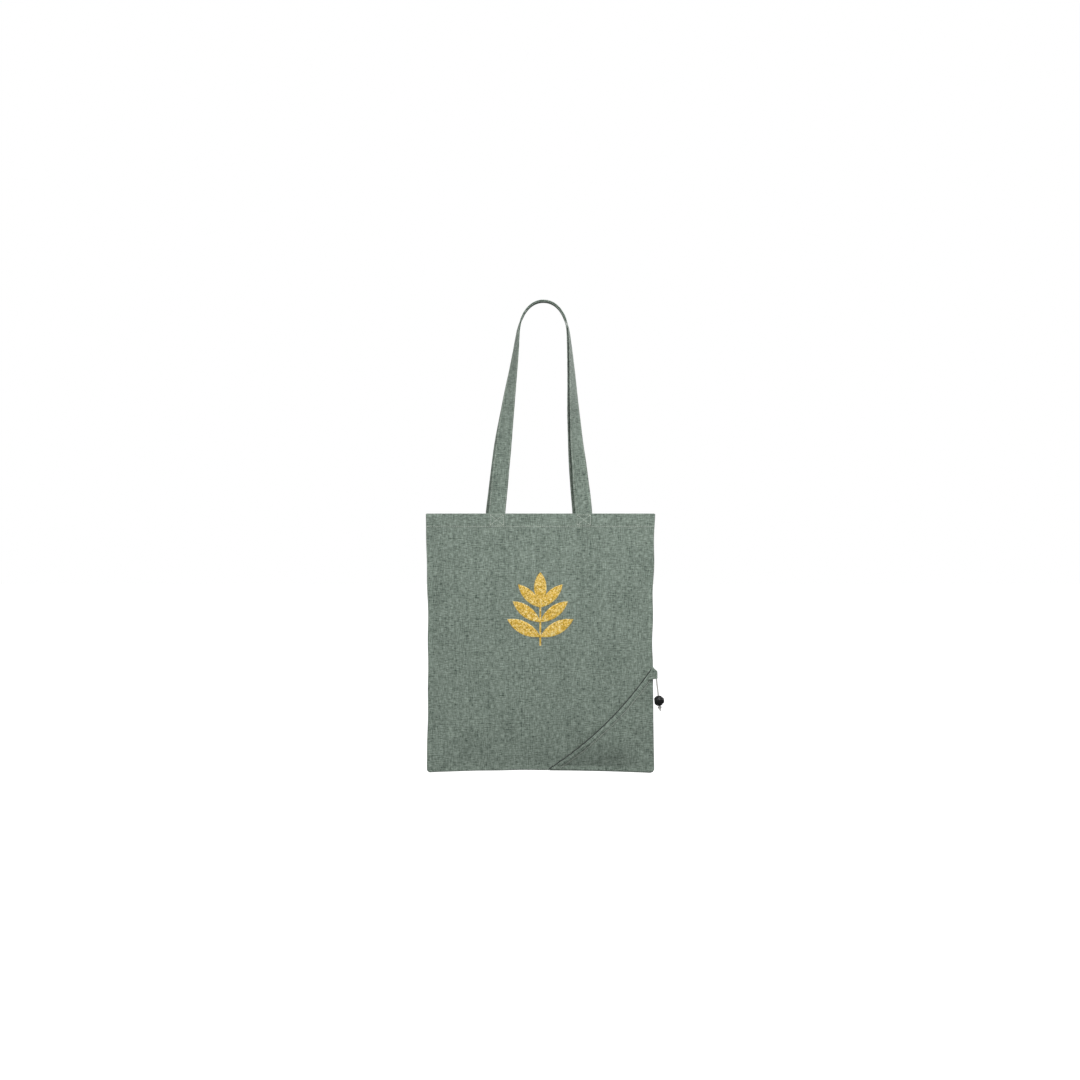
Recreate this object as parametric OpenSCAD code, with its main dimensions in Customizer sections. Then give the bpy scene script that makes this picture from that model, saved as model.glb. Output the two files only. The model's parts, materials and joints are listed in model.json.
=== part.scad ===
// Foldable cloth tote bag with two long handles and a drawstring corner pocket that stores it.
// The bag hangs from its handles: the origin is the underside of the handles' top, +Z is up
// and the front panel, with the pocket, faces -Y.

/* [Bag] */
// Width of the bag across the rim
bag_w = 376; // [300:1:460]
// Height of the bag from the rim to the bottom corners
bag_h = 424; // [350:1:510]
// How far each side edge pulls in at mid height
side_pull = 3; // [0:0.5:8]
// How much each side edge is drawn in at the bottom
foot_pull = 2; // [0:0.5:8]
// How far the bottom edge rises at its middle
foot_arch = 4; // [0:0.5:10]
// Thickness of the bag cloth
cloth_t = 1; // [0.6:0.1:1.4]
// How far each panel stands out from the seams
belly = 7.6; // [6:0.2:16]
// Distance over which a panel rounds off to a side seam
side_roll = 90; // [60:1:110]
// Distance over which a panel rounds off to the bottom seam
foot_roll = 90; // [60:1:110]
// Height of the fold line above the top of the pocket
fold_above_pocket = 17; // [10:1:24]

/* [Seams and hems] */
// Width of the seam allowance inside the side and bottom edges
seam_w = 8; // [5:0.5:12]
// Thickness of the seam allowance
seam_t = 0.8; // [0.6:0.1:1.6]
// Height of the hem at the rim
hem_h = 23; // [16:1:32]
// Thickness of the turned-in hem
hem_t = 1; // [0.6:0.1:1.6]
// Distance of the hem stitches above the lower edge of the hem
stitch_edge = 2; // [1:0.5:4]
// Thickness of the sewing thread
thread_d = 0.5; // [0.3:0.1:0.8]

/* [Handles] */
// Width of the handle strap
strap_w = 28; // [20:1:36]
// Thickness of the handle strap
strap_t = 1.4; // [1:0.1:2]
// Height from the rim to the underside of the handles' top
handle_rise = 344; // [280:1:420]
// Distance between the middles of a handle's two legs at the rim
leg_pitch = 142; // [110:1:180]
// Distance between the legs where the top begins to round
crest_w = 85; // [70:1:110]
// Height over which the top of a handle rounds
crest_h = 52; // [40:1:70]
// How far the handles' top sits to the right of the bag's middle
crest_shift = 5; // [0:1:10]
// How far the back handle is sewn to the left of the front one
back_shift = 4.5; // [0:0.5:8]
// Clear space between the two nested handles at the top
nest_gap = 2.2; // [1.8:0.1:3]
// Height above the rim where a leg starts to twist
twist_start = 20; // [10:1:40]

/* [Corner pocket] */
// Width of the pocket along the bottom of the bag
pocket_w = 178; // [140:1:215]
// Height of the pocket along the side of the bag
pocket_h = 173; // [140:1:210]
// How far the pocket's mouth curves in towards the corner
mouth_sag = 12; // [4:1:20]
// How far the mouth of the pocket gapes
pocket_gape = 7; // [6:0.5:10]
// Clear space between the pocket and the panel where they are sewn together
pocket_gap = 0.3; // [0.2:0.05:0.5]
// Width of the drawcord channel along the mouth
channel_w = 8; // [7:0.5:12]
// Thickness of the channel's cloth
channel_t = 0.8; // [0.6:0.1:1.2]
// How far the end of the channel stands out past the side edge
tab_out = 7.8; // [6:0.2:10]

/* [Drawcord] */
// Diameter of the drawcord
cord_d = 2.4; // [2:0.1:2.6]
// Slope of the hanging tail away from the bag, in degrees
tail_lean = 6.5; // [6:0.5:9]
// Distance from the tail's pivot to the middle of the cord lock
lock_drop = 39; // [34:1:44]
// Diameter of the stopper knot
knot_d = 6; // [5:0.2:7]

/* [Cord lock] */
// Diameter of the cord lock's round body
lock_d = 17.2; // [15:0.2:19]
// Distance from the middle of the lock to its flat end
lock_flat = 7.4; // [7:0.1:7.8]
// Distance from the middle of the lock to its open end
lock_mouth = 5.2; // [4.6:0.1:5.6]
// Radius of the plunger
plunger_r = 5.4; // [4.8:0.1:5.8]
// Running clearance around the plunger
plunger_fit = 0.08; // [0.05:0.01:0.1]
// How far the plunger's head stands out of the lock
plunger_head = 3.6; // [3:0.1:5]
// Travel of the plunger
plunger_travel = 2; // [1.4:0.1:2.2]
// Clearance around the cord inside the lock
cord_fit = 0.25; // [0.2:0.05:0.35]
// Radius of the plunger's spring
spring_r = 2.8; // [2:0.1:3.2]
// Diameter of the spring wire
spring_wire = 0.5; // [0.4:0.05:0.6]

/* [Emblem] */
// Height of the sprig printed on the front
emblem_h = 120; // [90:1:124]
// Width of the sprig printed on the front
emblem_w = 110; // [80:1:112]
// Thickness of the printed glitter
print_t = 0.4; // [0.2:0.1:0.8]
// Space between the sprig and the fold line
emblem_gap = 18; // [12:1:26]

/* [Hidden] */

// Parts that move apart keep this much clear space
free_gap = 0.3;
// A printed or sewn layer sits this far inside or outside its neighbour
layer_gap = 0.05;
fold_q = bag_h - pocket_h - fold_above_pocket;
fold_split = 0.4;
cloth_green = "#6f8272";
seam_green = "#5d6f61";
cord_white = "#e8e8e4";
thread_grey = "#b9c4b6";

// Places on the bag are given by x, measured from the bag's middle, and by q, the depth below
// the rim. place() turns them and a depth y into a point of the model.
function place(x, q, y) = [x - crest_shift, y, -handle_rise - q];

function clamp01(a) = max(0, min(1, a));
function ease(a) = let(b = clamp01(a)) b * b * (3 - 2 * b);
function roll(a) = let(b = 1 - clamp01(a)) 1 - b * b;

// Half the width of the bag at depth q, and the depth of the bottom edge at share u of it
function half_w(q) = bag_w / 2 - side_pull * sin(180 * q / bag_h) - foot_pull * q / bag_h;
function foot_q(u) = bag_h - foot_arch * (1 - u * u);

// How far the inner face of a panel stands from the middle plane
function swell(x, q) =
    belly * roll((half_w(q) - seam_w - abs(x)) / side_roll)
    * roll((foot_q(x / half_w(q)) - q - seam_w) / foot_roll);
function front_in(x, q) = seam_t / 2 + free_gap + swell(x, q);
function front_out(x, q) = front_in(x, q) + cloth_t;
function back_in(x, q) = seam_t / 2 + swell(x, q);
function back_out(x, q) = back_in(x, q) + cloth_t;

// Columns across a panel and rows down its two halves are closer together near the seams, and
// the last of each is the flat seam allowance
side_cells = 10;
seam_share = 1 - seam_w / (bag_w / 2 - side_pull);
columns = [-1, for (i = [-side_cells:side_cells]) seam_share * sin(90 * i / side_cells), 1];
upper_cells = 4;
upper_low = fold_q - fold_split / 2;
upper_rows = [0, for (i = [0:upper_cells]) hem_h + (upper_low - hem_h) * i / upper_cells];
lower_cells = 9;
lower_top = fold_q + fold_split / 2;
function lower_row(u, j) =
    j > lower_cells ? foot_q(u)
    : lower_top + (foot_q(u) - seam_w - lower_top) * sin(90 * j / lower_cells);

// A closed solid between two grids of points that have the same rows and columns
module slab(front, back) {
    rows = len(front);
    cols = len(front[0]);
    count = rows * cols;
    points = [for (r = front) each r, for (r = back) each r];
    function at(i, j) = i * cols + j;
    faces = [
        for (i = [0:rows - 2]) for (j = [0:cols - 2]) each [
            [at(i, j), at(i, j + 1), at(i + 1, j)],
            [at(i, j + 1), at(i + 1, j + 1), at(i + 1, j)],
            [count + at(i, j), count + at(i + 1, j), count + at(i, j + 1)],
            [count + at(i, j + 1), count + at(i + 1, j), count + at(i + 1, j + 1)]
        ],
        for (j = [0:cols - 2]) each [
            [at(0, j + 1), at(0, j), count + at(0, j)],
            [at(0, j + 1), count + at(0, j), count + at(0, j + 1)],
            [at(rows - 1, j), at(rows - 1, j + 1), count + at(rows - 1, j)],
            [at(rows - 1, j + 1), count + at(rows - 1, j + 1), count + at(rows - 1, j)]
        ],
        for (i = [0:rows - 2]) each [
            [at(i, 0), at(i + 1, 0), count + at(i, 0)],
            [at(i + 1, 0), count + at(i + 1, 0), count + at(i, 0)],
            [at(i + 1, cols - 1), at(i, cols - 1), count + at(i, cols - 1)],
            [at(i + 1, cols - 1), count + at(i, cols - 1), count + at(i + 1, cols - 1)]
        ]
    ];
    polyhedron(points, faces);
}

// A closed solid through rings of points, with flat ends
module skin(rings) {
    n = len(rings[0]);
    last = len(rings) - 1;
    points = [for (r = rings) each r];
    faces = [
        [for (j = [0:n - 1]) j],
        for (i = [0:last - 1]) for (j = [0:n - 1]) each [
            [i * n + j, (i + 1) * n + j, i * n + (j + 1) % n],
            [i * n + (j + 1) % n, (i + 1) * n + j, (i + 1) * n + (j + 1) % n]
        ],
        [for (j = [n - 1:-1:0]) last * n + j]
    ];
    polyhedron(points, faces);
}

// A round tube along a list of points, each with its radius
function unit(v) = v / norm(v);
module tube(path, radii, sides, up = [0, 1, 0]) {
    last = len(path) - 1;
    skin([
        for (i = [0:last])
            let(t = unit(path[min(last, i + 1)] - path[max(0, i - 1)]))
            let(a = unit(cross(t, up)))
            let(b = cross(t, a))
            [for (j = [0:sides - 1])
                path[i] + radii[i] * (cos(360 * j / sides) * a + sin(360 * j / sides) * b)]
    ]);
}

// ---------- Panels, hems and seams ----------

module front_panel_upper() {
    color(cloth_green)
    slab(
        [for (q = upper_rows) [for (u = columns) let(x = u * half_w(q)) place(x, q, -front_out(x, q))]],
        [for (q = upper_rows) [for (u = columns) let(x = u * half_w(q)) place(x, q, -front_in(x, q))]]
    );
}

module back_panel_upper() {
    color(cloth_green)
    slab(
        [for (q = upper_rows) [for (u = columns) let(x = u * half_w(q)) place(x, q, back_in(x, q))]],
        [for (q = upper_rows) [for (u = columns) let(x = u * half_w(q)) place(x, q, back_out(x, q))]]
    );
}

module front_panel_lower() {
    color(cloth_green)
    slab(
        [for (j = [0:lower_cells + 1]) [for (u = columns)
            let(q = lower_row(u, j), x = u * half_w(q)) place(x, q, -front_out(x, q))]],
        [for (j = [0:lower_cells + 1]) [for (u = columns)
            let(q = lower_row(u, j), x = u * half_w(q)) place(x, q, -front_in(x, q))]]
    );
}

module back_panel_lower() {
    color(cloth_green)
    slab(
        [for (j = [0:lower_cells + 1]) [for (u = columns)
            let(q = lower_row(u, j), x = u * half_w(q)) place(x, q, back_in(x, q))]],
        [for (j = [0:lower_cells + 1]) [for (u = columns)
            let(q = lower_row(u, j), x = u * half_w(q)) place(x, q, back_out(x, q))]]
    );
}

// The turned-in hems stop short of the side seams
hem_share = 0.94;
hem_columns = [for (u = columns) if (abs(u) < hem_share) u];
hem_rows = [layer_gap, hem_h];

module front_hem() {
    color(cloth_green)
    slab(
        [for (q = hem_rows) [for (u = hem_columns)
            let(x = u * half_w(q)) place(x, q, -front_in(x, q) + layer_gap)]],
        [for (q = hem_rows) [for (u = hem_columns)
            let(x = u * half_w(q)) place(x, q, -front_in(x, q) + layer_gap + hem_t)]]
    );
}

module back_hem() {
    color(cloth_green)
    slab(
        [for (q = hem_rows) [for (u = hem_columns)
            let(x = u * half_w(q)) place(x, q, back_in(x, q) - layer_gap - hem_t)]],
        [for (q = hem_rows) [for (u = hem_columns)
            let(x = u * half_w(q)) place(x, q, back_in(x, q) - layer_gap)]]
    );
}

// A strip of seam allowance along one side edge, between depths q0 and q1
module side_strip(side, q0, q1) {
    cells = 6;
    function row(i) = q0 + (q1 - q0) * i / cells;
    function edge(q) = side * half_w(q);
    function inner(q) = side * (half_w(q) - seam_w);
    low = side > 0 ? 0 : 1;
    color(seam_green)
    slab(
        [for (i = [0:cells]) let(q = row(i), xs = [inner(q), edge(q)])
            [place(xs[low], q, -seam_t / 2), place(xs[1 - low], q, -seam_t / 2)]],
        [for (i = [0:cells]) let(q = row(i), xs = [inner(q), edge(q)])
            [place(xs[low], q, seam_t / 2), place(xs[1 - low], q, seam_t / 2)]]
    );
}

module left_seam_upper() side_strip(-1, 0, upper_low);
module right_seam_upper() side_strip(1, 0, upper_low);
module left_seam_lower() side_strip(-1, lower_top, bag_h - foot_arch - seam_w);
module right_seam_lower() side_strip(1, lower_top, bag_h - foot_arch - seam_w);

module bottom_seam() {
    function top_q(u) = min(foot_q(u), bag_h - foot_arch) - seam_w;
    color(seam_green)
    slab(
        [for (s = [0, 1]) [for (u = columns)
            let(q = s == 0 ? top_q(u) : foot_q(u)) place(u * half_w(q), q, -seam_t / 2)]],
        [for (s = [0, 1]) [for (u = columns)
            let(q = s == 0 ? top_q(u) : foot_q(u)) place(u * half_w(q), q, seam_t / 2)]]
    );
}

// ---------- Handles ----------

leg_top = handle_rise - crest_h;
leg_slope = (leg_pitch - crest_w) / 2 / leg_top;
// Share of a half arch that is the straight leg
leg_share = 0.74;
strap_edge = leg_pitch / 2 + strap_w / 2;
// The flat end of a strap clears the curved hem by this much
end_gap = 0.2;
strap_y = front_in(strap_edge, hem_h) - layer_gap - hem_t - end_gap - strap_t / 2;
back_strap_y = back_in(strap_edge + back_shift, hem_h) - layer_gap - hem_t - end_gap - strap_t / 2;
// The middle of a leg starts high enough for the low corner of its slanted end to clear the rim
handle_start = free_gap + strap_w / 2 * leg_slope;
front_top = handle_rise + 1.5 * strap_t + nest_gap;
// Each leg turns at its own pace, as a strap that hangs over a hook does, and is edge on to the
// front a little above the top of the leg
left_twist = 1.15;
right_twist = 0.68;
twist_past = 28;
// The crest leaves the straight leg over this share of its rise and levels off from this share
// of the distance between the legs
crest_lift = 0.56;
crest_level = 0.29;
// The shift of the crest grows from one height to another
sway_low = 100;
sway_high = 300;

function bezier(a, b, c, d, t) =
    let(s = 1 - t) s * s * s * a + 3 * s * s * t * b + 3 * s * t * t * c + t * t * t * d;

// Half of the arch: a is 0 at the rim and 1 at the top; gives the distance from the middle and
// the height above the rim
function half_arch(a) =
    a < leg_share
    ? let(f = a / leg_share)
        [leg_pitch / 2 + (crest_w / 2 - leg_pitch / 2) * f, handle_start + (leg_top - handle_start) * f]
    : let(t = (a - leg_share) / (1 - leg_share), lift = crest_lift * (front_top - leg_top))
        bezier(
            [crest_w / 2, leg_top],
            [crest_w / 2 - lift * leg_slope, leg_top + lift],
            [crest_level * crest_w, front_top],
            [0, front_top], t);

// The arch from the left base, s = -1, over the top, s = 0, to the right base, s = 1
function arch_xz(s) =
    let(p = half_arch(1 - abs(s)))
    [sign(s) * p[0] + crest_shift * ease((p[1] - sway_low) / (sway_high - sway_low)), p[1]];
function arch_in(s) =
    let(t = unit(arch_xz(min(1, s + 0.01)) - arch_xz(max(-1, s - 0.01)))) [t[1], 0, -t[0]];
function twist(s) =
    let(f = clamp01((arch_xz(s)[1] - twist_start) / (leg_top - twist_start + twist_past)))
    90 * pow(f, s < 0 ? left_twist : right_twist);
function strap_across(s) = cos(twist(s)) * arch_in(s) + sin(twist(s)) * [0, -1, 0];
function strap_out(s) = cos(twist(s)) * [0, -1, 0] - sin(twist(s)) * arch_in(s);
function front_mid(s) =
    let(p = arch_xz(s)) place(p[0], -p[1], -strap_y * (1 - p[1] / front_top));
function back_mid(s) =
    let(p = arch_xz(s), rest = 1 - p[1] / front_top)
    front_mid(s) + [-back_shift * rest, (strap_y + back_strap_y) * rest, 0]
    + (strap_t + nest_gap) * sin(twist(s)) * arch_in(s);

function strap_ring(mid, s) =
    let(w = strap_across(s) * strap_w / 2, n = strap_out(s) * strap_t / 2)
    [mid + w + n, mid - w + n, mid - w - n, mid + w - n];

stations = let(steps = 40) [for (i = [-steps:steps]) i / steps];

module front_handle() {
    color(cloth_green) skin([for (s = stations) strap_ring(front_mid(s), s)]);
}

module back_handle() {
    color(cloth_green) skin([for (s = stations) strap_ring(back_mid(s), s)]);
}

// The end of a strap, sewn inside the hem; its middle is at x
module strap_end(x, y) {
    reach = hem_h - stitch_edge / 2;
    color(cloth_green)
    translate(place(x - strap_w / 2, reach, y - strap_t / 2))
    cube([strap_w, strap_t, reach]);
}

module front_handle_left_end() strap_end(-leg_pitch / 2, -strap_y);
module front_handle_right_end() strap_end(leg_pitch / 2, -strap_y);
module back_handle_left_end() strap_end(-leg_pitch / 2 - back_shift, back_strap_y);
module back_handle_right_end() strap_end(leg_pitch / 2 - back_shift, back_strap_y);

// ---------- Stitching ----------

// A row of thread between two places on the face of a panel
module thread_bar(x0, q0, x1, q1, y) {
    run = norm([x1 - x0, q1 - q0]);
    translate(place((x0 + x1) / 2, (q0 + q1) / 2, y))
    rotate([0, atan2(q1 - q0, x1 - x0), 0])
    cube([run, thread_d, thread_d], center = true);
}

hem_seam_q = hem_h - stitch_edge;
// Distance of the anchoring box from the edges of the strap
anchor_edge = 3;

// The box with a cross in it that anchors the end of a strap
module anchor_box(x, y) {
    w = strap_w / 2 - anchor_edge;
    top = stitch_edge;
    low = hem_seam_q - stitch_edge;
    thread_bar(x - w, top, x + w, top, y);
    thread_bar(x - w, low, x + w, low, y);
    for (s = [-1, 1]) {
        thread_bar(x + s * w, top - thread_d / 2, x + s * w, low + thread_d / 2, y);
        thread_bar(x + s * w, top, x - s * w, low, y);
    }
}

module front_anchor_stitches() {
    y = -front_out(0, 0) - thread_d / 2;
    color(thread_grey) for (s = [-1, 1]) anchor_box(s * leg_pitch / 2, y);
}

module back_anchor_stitches() {
    y = back_out(0, 0) + thread_d / 2;
    color(thread_grey) for (s = [-1, 1]) anchor_box(s * leg_pitch / 2 - back_shift, y);
}

stitch_rows = [hem_seam_q - thread_d / 2, hem_seam_q + thread_d / 2];

module front_hem_stitches() {
    color(thread_grey)
    slab(
        [for (q = stitch_rows) [for (u = columns)
            let(x = u * half_w(q)) place(x, q, -front_out(x, q) - thread_d)]],
        [for (q = stitch_rows) [for (u = columns)
            let(x = u * half_w(q)) place(x, q, -front_out(x, q) - layer_gap)]]
    );
}

module back_hem_stitches() {
    color(thread_grey)
    slab(
        [for (q = stitch_rows) [for (u = columns)
            let(x = u * half_w(q)) place(x, q, back_out(x, q) + layer_gap)]],
        [for (q = stitch_rows) [for (u = columns)
            let(x = u * half_w(q)) place(x, q, back_out(x, q) + thread_d)]]
    );
}

// ---------- Printed sprig ----------

emblem_q = fold_q - emblem_gap - emblem_h / 2;
leaf_l = emblem_h * 0.42;
leaf_w = emblem_h * 0.17;
leaf_pairs = 3;
stem_w = 3;

// A pointed leaf that starts at the origin and grows along +Y
module leaf(l, w) {
    r = (l * l / 4 + w * w / 4) / w;
    translate([0, l / 2])
    intersection() {
        translate([w / 2 - r, 0]) circle(r = r, $fn = 96);
        translate([r - w / 2, 0]) circle(r = r, $fn = 96);
    }
}

// A stem with a leaf at its tip and pairs of leaves that are shorter and steeper towards it
module emblem_outline() {
    low = -emblem_h / 2;
    translate([-stem_w / 2, low]) square([stem_w, emblem_h - leaf_l * 0.9]);
    translate([0, emblem_h / 2 - leaf_l]) leaf(leaf_l, leaf_w);
    for (side = [-1, 1]) {
        for (k = [0:leaf_pairs - 1]) {
            lean = 62 - 9 * k;
            reach = (emblem_w / 2) * (0.98 - 0.16 * k);
            translate([0, low + emblem_h * (0.12 + 0.2 * k)])
            rotate(-side * lean)
            leaf(reach / sin(lean), leaf_w * (1 - 0.08 * k));
        }
    }
}

module emblem() {
    color("#b39a4a")
    translate(place(0, emblem_q, -front_out(0, 0)))
    rotate([90, 0, 0])
    linear_extrude(print_t) emblem_outline();
}

// ---------- Corner pocket ----------

// The mouth is an arc from the side edge, t = 0, to the bottom edge, t = 1
pocket_q = bag_h - pocket_h;
mouth_over = 1.5;
mouth_short = 0.5;
side_end = [half_w(pocket_q) + mouth_over, pocket_q];
foot_end = [half_w(bag_h) - pocket_w, bag_h - mouth_short];
mouth_chord = norm(side_end - foot_end);
mouth_r = (mouth_chord * mouth_chord / 4 + mouth_sag * mouth_sag) / 2 / mouth_sag;
mouth_in = unit([side_end[1] - foot_end[1], foot_end[0] - side_end[0]]) * -1;
mouth_centre = (side_end + foot_end) / 2 - mouth_in * (mouth_r - mouth_sag);
side_angle = atan2(side_end[1] - mouth_centre[1], side_end[0] - mouth_centre[0]);
foot_angle = atan2(foot_end[1] - mouth_centre[1], foot_end[0] - mouth_centre[0]);

// A place at share t along the mouth and w inside the pocket from its edge
function mouth(t, w) =
    let(a = side_angle + (foot_angle - side_angle) * t)
    mouth_centre + (mouth_r + w) * [cos(a), sin(a)];

// How far the pocket stands out from the panel, which it does within a short way of its seams
gape_side = 60;
gape_foot = 55;
function gape(x, q) =
    pocket_gape * roll((half_w(q) - seam_w - abs(x)) / gape_side)
    * roll((foot_q(x / half_w(q)) - q - seam_w) / gape_foot);
function pocket_in(x, q) = front_out(x, q) + pocket_gap + gape(x, q);
function pocket_out(x, q) = pocket_in(x, q) + cloth_t;

// The edge of the bag opposite share t of the mouth: down the side edge, then along the bottom
function corner_edge(t) =
    t < 0.5
    ? let(q = side_end[1] + (bag_h - side_end[1]) * t * 2) [half_w(q), q]
    : let(f = t * 2 - 1, x = half_w(bag_h) + (foot_end[0] - half_w(bag_h)) * f)
        [x, foot_q(x / half_w(bag_h))];

// The pocket's cloth in columns along the mouth, from first_col to last_col, and in rows from
// the mouth to the corner
pocket_cols = 28;
pocket_rows = 18;
first_col = 0.04;
last_col = 0.97;
pocket_shares = [for (i = [0:pocket_cols]) first_col + (last_col - first_col) * i / pocket_cols];
function pocket_at(t, v) =
    let(p = mouth(t, 0), inside = [min(p[0], half_w(p[1])), min(p[1], foot_q(p[0] / half_w(p[1])))])
    inside + (corner_edge(t) - inside) * v;

module corner_pocket() {
    color(cloth_green)
    slab(
        [for (i = [0:pocket_rows]) [for (k = [pocket_cols:-1:0])
            let(p = pocket_at(pocket_shares[k], i / pocket_rows))
            place(p[0], p[1], -pocket_out(p[0], p[1]))]],
        [for (i = [0:pocket_rows]) [for (k = [pocket_cols:-1:0])
            let(p = pocket_at(pocket_shares[k], i / pocket_rows))
            place(p[0], p[1], -pocket_in(p[0], p[1]))]]
    );
}

// The channel is a strip of cloth arched over the drawcord, sewn down along both edges
channel_rise = cord_d + 0.6;
channel_first = 0.075;
channel_last = 0.93;
channel_cells = 26;
arch_cells = 8;
// Width of the flat edges by which the channel is sewn down
channel_edge = 0.6;
function channel_lift(w) =
    channel_rise * sqrt(sin(180 * clamp01((w - channel_edge) / (channel_w - 2 * channel_edge))));
function channel_share(k) = channel_first + (channel_last - channel_first) * k / channel_cells;

module pocket_channel() {
    across = [for (i = [0:arch_cells]) channel_w * i / arch_cells];
    color(cloth_green)
    skin([
        for (k = [0:channel_cells])
            let(t = channel_share(k))
            [
                for (w = across) let(p = mouth(t, w))
                    place(p[0], p[1], -pocket_out(p[0], p[1]) - layer_gap - channel_t - channel_lift(w)),
                for (i = [arch_cells:-1:0]) let(w = across[i], p = mouth(t, w))
                    place(p[0], p[1], -pocket_out(p[0], p[1]) - layer_gap - channel_lift(w))
            ]
    ]);
}

module channel_stitches() {
    color(thread_grey)
    skin([
        for (k = [0:channel_cells])
            let(t = channel_share(k))
            let(a = mouth(t, channel_w + free_gap), b = mouth(t, channel_w + free_gap + thread_d))
            [
                place(a[0], a[1], -pocket_out(a[0], a[1]) - layer_gap - thread_d),
                place(b[0], b[1], -pocket_out(b[0], b[1]) - layer_gap - thread_d),
                place(b[0], b[1], -pocket_out(b[0], b[1]) - layer_gap),
                place(a[0], a[1], -pocket_out(a[0], a[1]) - layer_gap)
            ]
    ]);
}

// The end of the channel folds over the side edge and lets the cord out at its lower corner
tab_h = 15;
tab_drop = 1.6;
tab_x = half_w(pocket_q) + tab_out;
tab_low = pocket_q + tab_h;
tab_back = front_out(half_w(pocket_q), pocket_q) + pocket_gap + cloth_t + free_gap + 2 * layer_gap;
tab_room = cord_d + 0.4;
tab_front = tab_back + tab_room + 2 * channel_t;
tab_join = mouth(channel_first - 0.005, 0);
tab_join_low = mouth(channel_first - 0.005, channel_w);
tab_join_flat = [tab_join_low[0], -tab_join_low[1]];
tab_turn = atan2(tab_join_low[1] - tab_join[1], tab_join[0] - tab_join_low[0]) - 90;
exit_x = tab_x - channel_t - cord_d / 2 - 0.2;
exit_y = -(tab_front + tab_back) / 2;
exit_q = tab_low + tab_drop - 0.1;

// The tab's outline, drawn in by a wall; its sloping edges come in by less or more than that
module tab_outline(wall) {
    polygon([
        [tab_join[0] + wall * 0.6, -tab_join[1] - wall * 1.2],
        [side_end[0] + wall * 0.4, -pocket_q - wall * 1.6],
        [tab_x - wall, -pocket_q - 0.6 - wall],
        [tab_x - wall, -tab_low + wall],
        [half_w(tab_low) - wall * 0.5, -tab_low - tab_drop + wall],
        [tab_join_low[0], -tab_join_low[1] + wall]
    ]);
}

// The way between the channel and the tab: reach is how far it goes into the tab and side is what
// it leaves of the channel's width at each edge
module tab_inlet(reach, side) {
    past = 3;
    translate(tab_join_flat)
    rotate(tab_turn)
    translate([-past, side]) square([past + reach, channel_w - 2 * side]);
}

module channel_end() {
    inlet_reach = 10;
    mouth_h = 8;
    color(cloth_green)
    difference() {
        translate(place(0, 0, -tab_back)) rotate([90, 0, 0])
        linear_extrude(tab_front - tab_back) tab_outline(0);
        translate(place(0, 0, -tab_back - channel_t)) rotate([90, 0, 0])
        linear_extrude(tab_room) {
            tab_outline(channel_t);
            translate([exit_x - tab_room / 2, -tab_low - 3]) square([tab_room, mouth_h]);
            tab_inlet(3, 0.9);
        }
        // The pocket's own cloth closes the back of the tab where the cord comes in
        translate(place(0, 0, -tab_back + 1)) rotate([90, 0, 0])
        linear_extrude(1 + 2 * channel_t) tab_inlet(inlet_reach, 1.3);
    }
}

// ---------- Drawcord ----------

// The cord lies in the middle of the channel on the pocket's cloth and stops short of its end
cord_mid = channel_w / 2;
cord_lift = free_gap + cord_d / 2;
cord_first = 0.07;
cord_last = 0.925;
cord_cells = 26;
cord_turn_r = 4.2;
cord_drop = 4;
cord_exit_q = exit_q - cord_d / 2;

// The cord runs up the channel, turns over inside the channel's end and comes out downwards
channel_run = [
    for (k = [cord_cells:-1:0])
        let(t = cord_first + (cord_last - cord_first) * k / cord_cells, p = mouth(t, cord_mid))
        place(p[0], p[1], -pocket_out(p[0], p[1]) - cord_lift)
];
cord_turn = [
    for (a = [130:-26:0])
        place(exit_x - cord_turn_r + cord_turn_r * cos(a),
              cord_exit_q - cord_drop - cord_turn_r * sin(a), exit_y)
];
drawcord_path = concat(channel_run, cord_turn, [place(exit_x, cord_exit_q, exit_y)]);

module drawcord() {
    color(cord_white)
    tube(drawcord_path, [for (p = drawcord_path) cord_d / 2], 8);
}

// Everything on the tail is built hanging straight down from the tail's pivot
pivot = place(exit_x, exit_q, exit_y);
module on_tail() {
    translate(pivot) rotate([0, -tail_lean, 0]) children();
}

// Route of the tail below its pivot, straight down through the lock to the knot
tail_points = [
    [0, 0, 0], [0, 0, -3], [0, 0, -6], [0, 0, -10], [0, 0, -14], [0, 0, -18], [0, 0, -22],
    [0, 0, -26], [0, 0, -30], [0, 0, -34], [0, 0, -38], [0, 0, -42], [0, 0, -46]
];
knot_drop = lock_drop + lock_d / 2 + knot_d / 2 - 0.1;
tail_end = knot_drop - knot_d / 2 + 1.1;
// The pivot end is a dome, so that the tail can swing against the cord above it
dome = [for (a = [75, 50, 25]) [[0, 0, cord_d / 2 * sin(a)], cord_d / 2 * cos(a)]];

module cord_tail() {
    kept = [for (p = tail_points) if (-p[2] < tail_end - 1) p];
    path = concat([for (d = dome) d[0]], kept, [[0, 0, -tail_end]]);
    radii = concat([for (d = dome) d[1]], [for (p = kept) cord_d / 2], [cord_d / 2]);
    color(cord_white) on_tail() tube(path, radii, 8);
}

module cord_knot() {
    color(cord_white) on_tail()
    translate([0, 0, -knot_drop]) sphere(d = knot_d, $fn = 48);
}

// ---------- Cord lock ----------

cord_hole = cord_d + 2 * cord_fit;
end_wall = 1.1;
seat_x = -lock_flat + end_wall;
// The plunger's inner end keeps a wall of this thickness behind the cord
plunger_wall = 1.3;
inner_end = -cord_hole / 2 - plunger_wall;

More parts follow.
